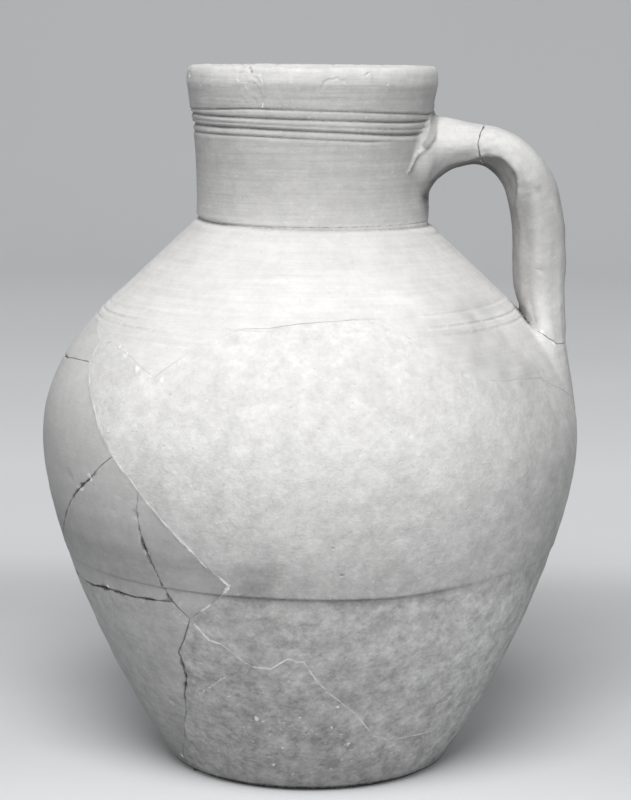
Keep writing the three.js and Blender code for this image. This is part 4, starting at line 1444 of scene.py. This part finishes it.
def chalk_on(p, near, styles, skin):
    """Plaster smeared beside the breaks, with the white flecks and scratches."""
    chalk = np.zeros(len(p))
    patchy = noise(p, 6, 141) + 0.7 * noise(p, 2.4, 142)
    for i, fill in enumerate(STYLE_FILLS):
        here = (styles == i) & (near < DIRT_REACH)
        if fill == "plaster":
            spread = 0.3 + 0.6 * np.clip(patchy[here], -0.3, 1)
            chalk[here] = 0.5 * smooth_step(1.0, 0.3, near[here] / spread)
        if fill == "dirt":
            chalk[here] = 0.5 * smooth_step(0.85, 1.1, patchy[here]) * smooth_step(2.6, 1.2, near[here])
    wavy = p + np.stack([0.6 * noise(p, 1.5, 143 + i) + 0.4 * noise(p, 0.8, 146 + i) for i in range(3)], 1)
    for centre, radius, amount in FLECKS:
        t = away_from(wavy, centre) / radius
        chalk = np.maximum(chalk, amount * smooth_step(1.05, 0.6, t))
    for corners, width, _, amount in SCRATCHES:
        away, _ = segments_distance(wavy, corners)
        line = smooth_step(width * 1.3, width * 0.5, away)
        chalk = np.maximum(chalk, amount * np.clip(0.6 + patchy, 0, 1) * line)
    return chalk * skin


# Tone of the clay by height: most sherds, and those that fired greyer. In the first, the lighter top of the
# lip is a painted highlight.
TONES = (
    (0, 0.58), (5, 0.64), (20, 0.72), (39, 0.71), (52, 0.74), (65, 0.8), (78, 0.8), (86, 0.76), (92, 0.77),
    (102, 0.93), (115, 1.04), (125, 1.07), (138, 1.1), (147, 1.1), (157, 1.08), (167, 1.1), (177, 1.16),
    (190, 1.17), (200, 1.13), (205, 1.1), (216, 1.02), (222, 0.92), (235, 0.8), (250, 0.77), (262, 0.8),
    # Painted highlight on the top of the lip
    (268.5, 0.82), (271.5, 1.0), (278, 1.08),
)
GREY_TONES = (
    (0, 0.68), (11, 0.72), (33, 0.8), (51, 0.88), (67, 0.98), (81, 0.94), (88, 0.82), (94, 0.78), (99, 0.8),
    (107, 0.9), (119, 1.06), (130, 1.0), (140, 1.05), (152, 1.18), (165, 1.3), (178, 1.34), (190, 1.34),
)
GRIP_TONES = (
    (150, 1.0), (165, 1.0), (178, 1.1), (192, 0.96), (205, 0.84), (215, 0.78), (232, 0.78), (240, 0.9),
    (250, 1.02),
)

# Stains and painted shade: place, reach and how much darker; a negative amount makes the clay lighter. The
# spots under the handle's root and in its dents are painted shade, those just above the step and beside the
# handle's lower end partly so.
STAINS_AND_SHADE = [(point_at(*place), *rest) for place, *rest in (
    ((-81, 22), 6, 0.1), ((-77, 13), 5, 0.12), ((-88, 12.5), 5, 0.1), ((-99, 93), 9, 0.16),
    ((-93, 97), 6, 0.08), ((-106, 44), 6, 0.08), ((-124, 92), 14, 0.06), ((-55, 50), 32, -0.08),
    ((-42, 78), 24, -0.1), ((-98, 90), 8, 0.08), ((-50, 205), 16, 0.06), ((-46, 192), 12, 0.1),
    ((-85, 118), 12, 0.04), ((-46, 176), 16, 0.16), ((-36, 172), 12, 0.12), ((-28, 163), 9, 0.14),
    ((-40, 188), 7, 0.08), ((-35, 150), 22, 0.1), ((-30, 120), 24, 0.1), ((80, 40), 14, 0.12),
    ((140, 100), 18, 0.08), ((40.0, -20.0, 238.0), 7, 0.1), ((44.3, -13.0, 229.5), 3.5, 0.16),
    ((45.0, -9.5, 226.5), 4, 0.26), ((45.4, -7.0, 221.5), 4, 0.22), ((83.5, -12.6, 231.0), 3, 0.13),
    ((85.0, -12.6, 225.5), 2.6, 0.1), ((89.5, -12.4, 230.3), 1.3, 0.2), ((79.5, -11.5, 236.5), 1.8, 0.22),
    ((-31, 188), 10, 0.17), ((-119, 122), 9, 0.08), ((-38, 66), 34, -0.2), ((-70, 36), 26, -0.05),
    ((-122, 160), 16, -0.1), ((-36, 26), 24, -0.1), ((-17, 122), 16, 0.1),
)]

# Painted shade on the underside of the handle, by share along it
UNDERSIDE_SHADE = (
    (0.1, 0.4), (0.3, 0.6), (0.37, 0.7), (0.42, 0.6), (0.47, 0.4), (0.52, 0.25), (0.6, 0.2), (0.8, 0.22),
)

# The shaded facet of clay beside the root
ROOT_FACET = (
    (48.6, 0.0, 259.8), (47.9, -8.2, 256.8), (47.8, -12.4, 253.9), (47.4, -15.2, 250.9),
    (46.5, -17.0, 248.7), (45.0, -18.6, 247.0),
)

# Faint line that liquid left high on the shoulder
TIDE_MARK = ring((
    (-122, 192.1), (-119, 195.7), (-105, 200.8), (-84, 200.2), (-74, 197.8), (-57, 195.6), (60, 192),
))


def tone_on(name, p):
    """How light the clay is, by height, on the handle, and at stains, with painted shade under the handle,
    at its root and in its dents, and a painted highlight on the lip's top.
    """
    heights, shades = zip(*(GREY_TONES if name in GREY_SHERDS else TONES))
    tone = np.interp(p[:, 2] + 2.5 * noise(p, 22, 171), heights, shades)
    handle = near_handle(p)
    if handle.any():
        part = p[handle]
        share, u, v, half, wide, _ = handle_place(part).T
        on = smooth_step(2.5, 0, handle_field(part)) * (part[:, 2] > 172)
        own = np.interp(part[:, 2], *zip(*GRIP_TONES)) + 0.04 * noise(part, 9, 173)
        turn, corner = under_turn(share, u, v, half, wide)
        under = turn - corner + 4 * noise(part, 4, 174)
        # Painted shade on the handle's underside, deeper towards its inner side
        shaded_below = smooth_step(-2, 6, under) * window(share, 0.03, 0.12, 0.82, 0.9)
        deep = 0.8 + 0.45 * smooth_step(148, 168, turn)
        own = own * (1 - shaded_below * deep * np.interp(share, *zip(*UNDERSIDE_SHADE)))
        facet = smooth_step(-46, -34, under) * window(share, 0.5, 0.6, 0.8, 0.88)
        own = own * (1 - 0.15 * facet * (v < 0))
        tone[handle] = tone[handle] * (1 - on) + own * on
    for place, reach, amount in STAINS_AND_SHADE:
        away = away_from(p, place) * (1 + 0.35 * noise(p, 5, 172))
        tone = tone - amount * peak(away, reach)
    if name == NECK:
        away, _ = segments_distance(p + 0.4 * noise(p, 2, 175)[:, None], ROOT_FACET)
        tone = tone - 0.42 * smooth_step(2.2, 1.2, away) * (p[:, 1] < 4)
        s = p[:, 2] - ring_at(TIDE_MARK, azimuth_of(p))
        tone = tone - 0.035 * peak(s, 0.7) + 0.02 * window(s, -9, 0, 0, 0.5)
    return np.clip(tone, 0.25, 1.42)


def contrast_on(name, p):
    """How strong the mottling is."""
    if name == BASE_LEFT:
        return np.full(len(p), 2.8)
    if name in GREY_SHERDS:
        return np.interp(p[:, 2], (90, 130), (1.7, 1.15))
    if name in (NECK, RIM_LEFT):
        return np.interp(p[:, 2], (190, 215, 225), (1.3, 1.4, 1.9))
    if name == GRIP:
        return np.full(len(p), 1.8)
    return np.interp(p[:, 2], (30, 84, 90, 130, 165), (2.9, 2.5, 1.5, 1.25, 1.05))


for name in solids:
    p, faces, kinds, near, styles, skin = dressed(name)
    piece = write_mesh(name.replace("_sherd", "") + "_dressed", p, faces)
    shade_smooth(piece, faces, kinds)
    add_attribute(piece, "tone", tone_on(name, p))
    add_attribute(piece, "contrast", contrast_on(name, p))
    add_attribute(piece, "dirt", dirt_and_shade_on(name, p, near, styles, skin))
    add_attribute(piece, "chalk", chalk_on(p, near, styles, skin))
    piece.data.materials.append(MATERIALS[SLOTS[name]])
    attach(piece, "root")
    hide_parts(name)


# Mends: a strip of filler along each break

STRIP_HALF_WIDTH = 1.5
STRIP_DEPTH = 1.3


def strip_for(name, fill):
    """Points and faces of the filler strips between this sherd and those after it in the list."""
    line = lines[name]
    order = list(solids)
    wanted = np.array([
        STYLE_FILLS[style] == fill and order.index(other) > order.index(name)
        for style, other in zip(line_styles[name], across[name])
    ], bool)
    starts, ends = line.starts[wanted], line.ends[wanted]
    if not len(starts):
        return None
    steps = np.maximum(np.ceil(np.linalg.norm(ends - starts, axis=1)).astype(int), 1)
    owner = np.repeat(np.arange(len(starts)), steps + 1)
    share = np.concatenate([np.arange(n + 1) / n for n in steps])
    points = starts[owner] + (ends - starts)[owner] * share[:, None]
    key = np.round(points / SAME_STRIP_POINT).astype(np.int64)
    _, first, inverse = np.unique(key, axis=0, return_index=True, return_inverse=True)
    inverse = inverse.ravel()
    summed = np.zeros((len(first), 3))
    np.add.at(summed, inverse, unit((ends - starts)[owner]))
    centre, normal = onto_skin(points[first])
    side = unit(np.cross(unit(summed), normal))
    sway = 0.15 + 0.14 * noise(centre, 3.2, 153) + 0.08 * noise(centre, 1.5, 154)
    centre = centre + side * sway[:, None]
    under = FILL_DEPTHS[fill]
    if fill == "dirt":
        under = 0.1 + under * crack_strength(centre)
    relief = turned_relief(centre, np.ones(len(centre)))
    handle = near_handle(centre)
    if handle.any():
        on = handle_share(centre[handle])
        relief[handle] *= 1 - on
        relief[handle] += handle_relief(centre[handle], on)
    wobble = 0.12 * noise(centre, 1.6, 151) + 0.1 * noise(centre, 5, 152)
    if fill == "plaster":
        wobble = -0.3 * np.clip(noise(centre, 6, 155) + 0.6 * noise(centre, 2.2, 156) - 0.15, 0, 1)
    if fill == "clay":
        wobble = np.zeros(len(centre))
    top = 0.36 if fill == "plaster" else 0.4
    left, right = (-STRIP_HALF_WIDTH, -STRIP_DEPTH), (STRIP_HALF_WIDTH, -STRIP_DEPTH)
    profile = (left, (-top, -0.16), (0.0, 0.02), (top, -0.16), right)
    rings = []
    for across_by, drop in profile:
        height = relief - under + drop + wobble
        rings.append(centre + side * across_by + normal * height[:, None])
        rings[-1][:, 2] = np.maximum(rings[-1][:, 2], 0.1)
    count = len(centre)
    pairs = np.stack([inverse[:-1], inverse[1:]], 1)[np.diff(owner) == 0]
    pairs = pairs[pairs[:, 0] != pairs[:, 1]]
    low_enough = centre[:, 2] < LIP_TOP - 2.5
    pairs = pairs[low_enough[pairs].all(1)]
    faces = []
    for k in range(len(profile) - 1):
        a, b = pairs[:, 0] + k * count, pairs[:, 1] + k * count
        c, d = b + count, a + count
        faces.append(np.stack([a, b, c], 1))
        faces.append(np.stack([a, c, d], 1))
    return np.concatenate(rings), np.vstack(faces)


def mend(fill, piece_name):
    """One piece made of all the strips of one filler."""
    points, faces, base = [], [], 0
    for name in solids:
        made = strip_for(name, fill)
        if made is None:
            continue
        points.append(made[0])
        faces.append(made[1] + base)
        base += len(made[0])
    p, f = np.vstack(points), np.vstack(faces)
    piece = write_mesh(piece_name, p, f)
    piece.data.polygons.foreach_set("use_smooth", np.ones(len(f), bool))
    tone = 1 + 0.12 * noise(p, 7, 161)
    if fill == "dirt":
        tone = tone * (1 + 2.2 * np.clip(0.75 - crack_strength(p), 0, 1))
    if fill == "plaster":
        low = np.interp(p[:, 2], (0, 60, 90, 115, 170), (0.8, 0.86, 0.92, 1.0, 1.0))
        tone = tone * low * (0.93 + 0.12 * noise(p, 3, 162))
    if fill == "clay":
        tone = tone_on("", p)
    add_attribute(piece, "tone", tone)
    piece.data.materials.append(FILLERS[fill])
    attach(piece, "root")


mend("plaster", "mend_plaster")
mend("dirt", "mend_dark")
mend("clay", "mend_toned")


# Stage

FLOOR_BACK = 1.9
SWEEP_RADIUS = 0.7
SWEEP_STEPS = 24
STAGE_HALF = 3.2
STAGE_FRONT = -3.0
WALL_HEIGHT = 2.6
STAGE_SHADE = 0.62
SHADOW_LIFT = 0.06
PAPER_TINT = (0.985, 1.0, 1.015, 1)

# How much the paper glows, by its distance behind the jug
STAGE_LIFTS = (
    (-0.6, 0.14), (-0.1, 0.12), (0.0, 0.01), (0.06, 0.03), (0.1, 0.01), (0.155, 0.0), (0.22, 0.0),
    (0.28, 0.045), (0.35, 0.17), (0.43, 0.21), (0.62, 0.25), (0.87, 0.24), (1.05, 0.25), (1.22, 0.24),
    (1.45, 0.24), (2.6, 0.19),
)


def stage_material():
    n = Nodes("stage_paper")
    where = n.add("TexCoord").outputs["Object"]
    depth = n.add("SeparateXYZ", {"Vector": where}).outputs["Y"]
    cloud = n.clouds(where, 1.6, 2, 0.5, STAGE_SHADE * 0.97, STAGE_SHADE * 1.03)
    tinted = n.mix(1.0, PAPER_TINT, n.grey(cloud), "MULTIPLY")
    bumps = n.bump(n.noise(where, 700, 2, 0.6), 0.0001, 0.4)
    paper = n.surface(tinted, 0.95, 0.1, bumps)
    first, last = STAGE_LIFTS[0][0], STAGE_LIFTS[-1][0]
    lifts = n.add("ValToRGB", {"Fac": n.ramp(depth, first, last)})
    stops = lifts.color_ramp.elements
    for i, (at, lift) in enumerate(STAGE_LIFTS):
        place = (at - first) / (last - first)
        stop = stops[i] if i < 2 else stops.new(place)
        stop.position = place
        stop.color = (lift, lift, lift, 1)
    around = n.add("VectorMath", {0: where, 1: (1, 1, 0)}, operation="MULTIPLY").outputs[0]
    far = n.add("VectorMath", {0: around}, operation="LENGTH").outputs["Value"]
    lift = n.maths("ADD", lifts.outputs[0], n.ramp(far, 0.12, 0.3, SHADOW_LIFT, 0.0))
    seen = n.add("LightPath").outputs["Is Camera Ray"]
    glow = n.add("Emission", {"Color": PAPER_TINT, "Strength": n.times(seen, lift)})
    both = n.add("AddShader", {0: paper, 1: glow.outputs[0]})
    return n.finished(both.outputs[0])


def make_stage():
    outline = [(STAGE_FRONT, 0.0)]
    for i in range(SWEEP_STEPS + 1):
        turn = math.pi / 2 * i / SWEEP_STEPS
        outline.append((FLOOR_BACK + SWEEP_RADIUS * math.sin(turn), SWEEP_RADIUS * (1 - math.cos(turn))))
    outline.append((FLOOR_BACK + SWEEP_RADIUS, WALL_HEIGHT))
    verts = [(x, y, z) for y, z in outline for x in (-STAGE_HALF, STAGE_HALF)]
    faces = [(2 * i, 2 * i + 1, 2 * i + 3, 2 * i + 2) for i in range(len(outline) - 1)]
    mesh = bpy.data.meshes.new("stage_sweep")
    mesh.from_pydata(verts, [], faces)
    mesh.update()
    mesh.polygons.foreach_set("use_smooth", np.ones(len(faces), bool))
    mesh.materials.append(stage_material())
    new_object("stage_sweep", mesh)


# World and key light
WORLD_STRENGTH = 0.2
WORLD_SEEN = 0.44
WORLD_COLOUR = (0.97, 0.99, 1.0, 1)
KEY_PLACE = (0.0, -1.1, 1.5)
KEY_AIM = (0, 0, 0.17)
KEY_SIZE = 1.0
KEY_POWER = 33


def add_light(name, place, aim, size, power):
    lamp = bpy.data.lights.new(name, "AREA")
    lamp.shape = "DISK"
    lamp.size = size
    lamp.energy = power
    obj = new_object(name, lamp)
    obj.location = place
    obj.rotation_mode = "QUATERNION"
    obj.rotation_quaternion = (Vector(aim) - Vector(place)).to_track_quat("-Z", "Y")
    obj.visible_camera = False


def make_light():
    world = bpy.data.worlds.new("studio")
    world.use_nodes = True
    tree = world.node_tree
    lighting = tree.nodes["Background"]
    seen = tree.nodes.new("ShaderNodeBackground")
    for node, strength in ((lighting, WORLD_STRENGTH), (seen, WORLD_SEEN)):
        node.inputs["Color"].default_value = WORLD_COLOUR
        node.inputs["Strength"].default_value = strength
    rays = tree.nodes.new("ShaderNodeLightPath")
    direct = rays.outputs["Is Camera Ray"]
    for other in ("Is Glossy Ray", "Is Transmission Ray"):
        either = tree.nodes.new("ShaderNodeMath")
        either.operation = "MAXIMUM"
        tree.links.new(direct, either.inputs[0])
        tree.links.new(rays.outputs[other], either.inputs[1])
        direct = either.outputs[0]
    mixed = tree.nodes.new("ShaderNodeMixShader")
    tree.links.new(direct, mixed.inputs[0])
    tree.links.new(lighting.outputs[0], mixed.inputs[1])
    tree.links.new(seen.outputs[0], mixed.inputs[2])
    tree.links.new(mixed.outputs[0], tree.nodes["World Output"].inputs["Surface"])
    bpy.context.scene.world = world
    add_light("key", KEY_PLACE, KEY_AIM, KEY_SIZE, KEY_POWER)


def make_camera():
    data = bpy.data.cameras.new("camera")
    data.sensor_width = SENSOR
    data.lens = FOCAL_PIXELS * SENSOR / IMAGE_HEIGHT
    data.clip_start, data.clip_end = NEAREST_SEEN, FARTHEST_SEEN
    turn, dip, roll = (math.radians(a) for a in (CAMERA_TURN, CAMERA_DIP, CAMERA_ROLL))
    look = Vector((-math.sin(turn) * math.cos(dip), math.cos(turn) * math.cos(dip), -math.sin(dip)))
    camera = new_object("camera", data)
    camera.location = Vector(CAMERA_PLACE) * MM
    camera.rotation_mode = "QUATERNION"
    rolled = Matrix.Rotation(roll, 3, "Z").to_quaternion()
    camera.rotation_quaternion = look.to_track_quat("-Z", "Y") @ rolled
    bpy.context.scene.camera = camera


make_stage()
make_light()
make_camera()
bpy.context.scene.view_settings.view_transform = "Standard"
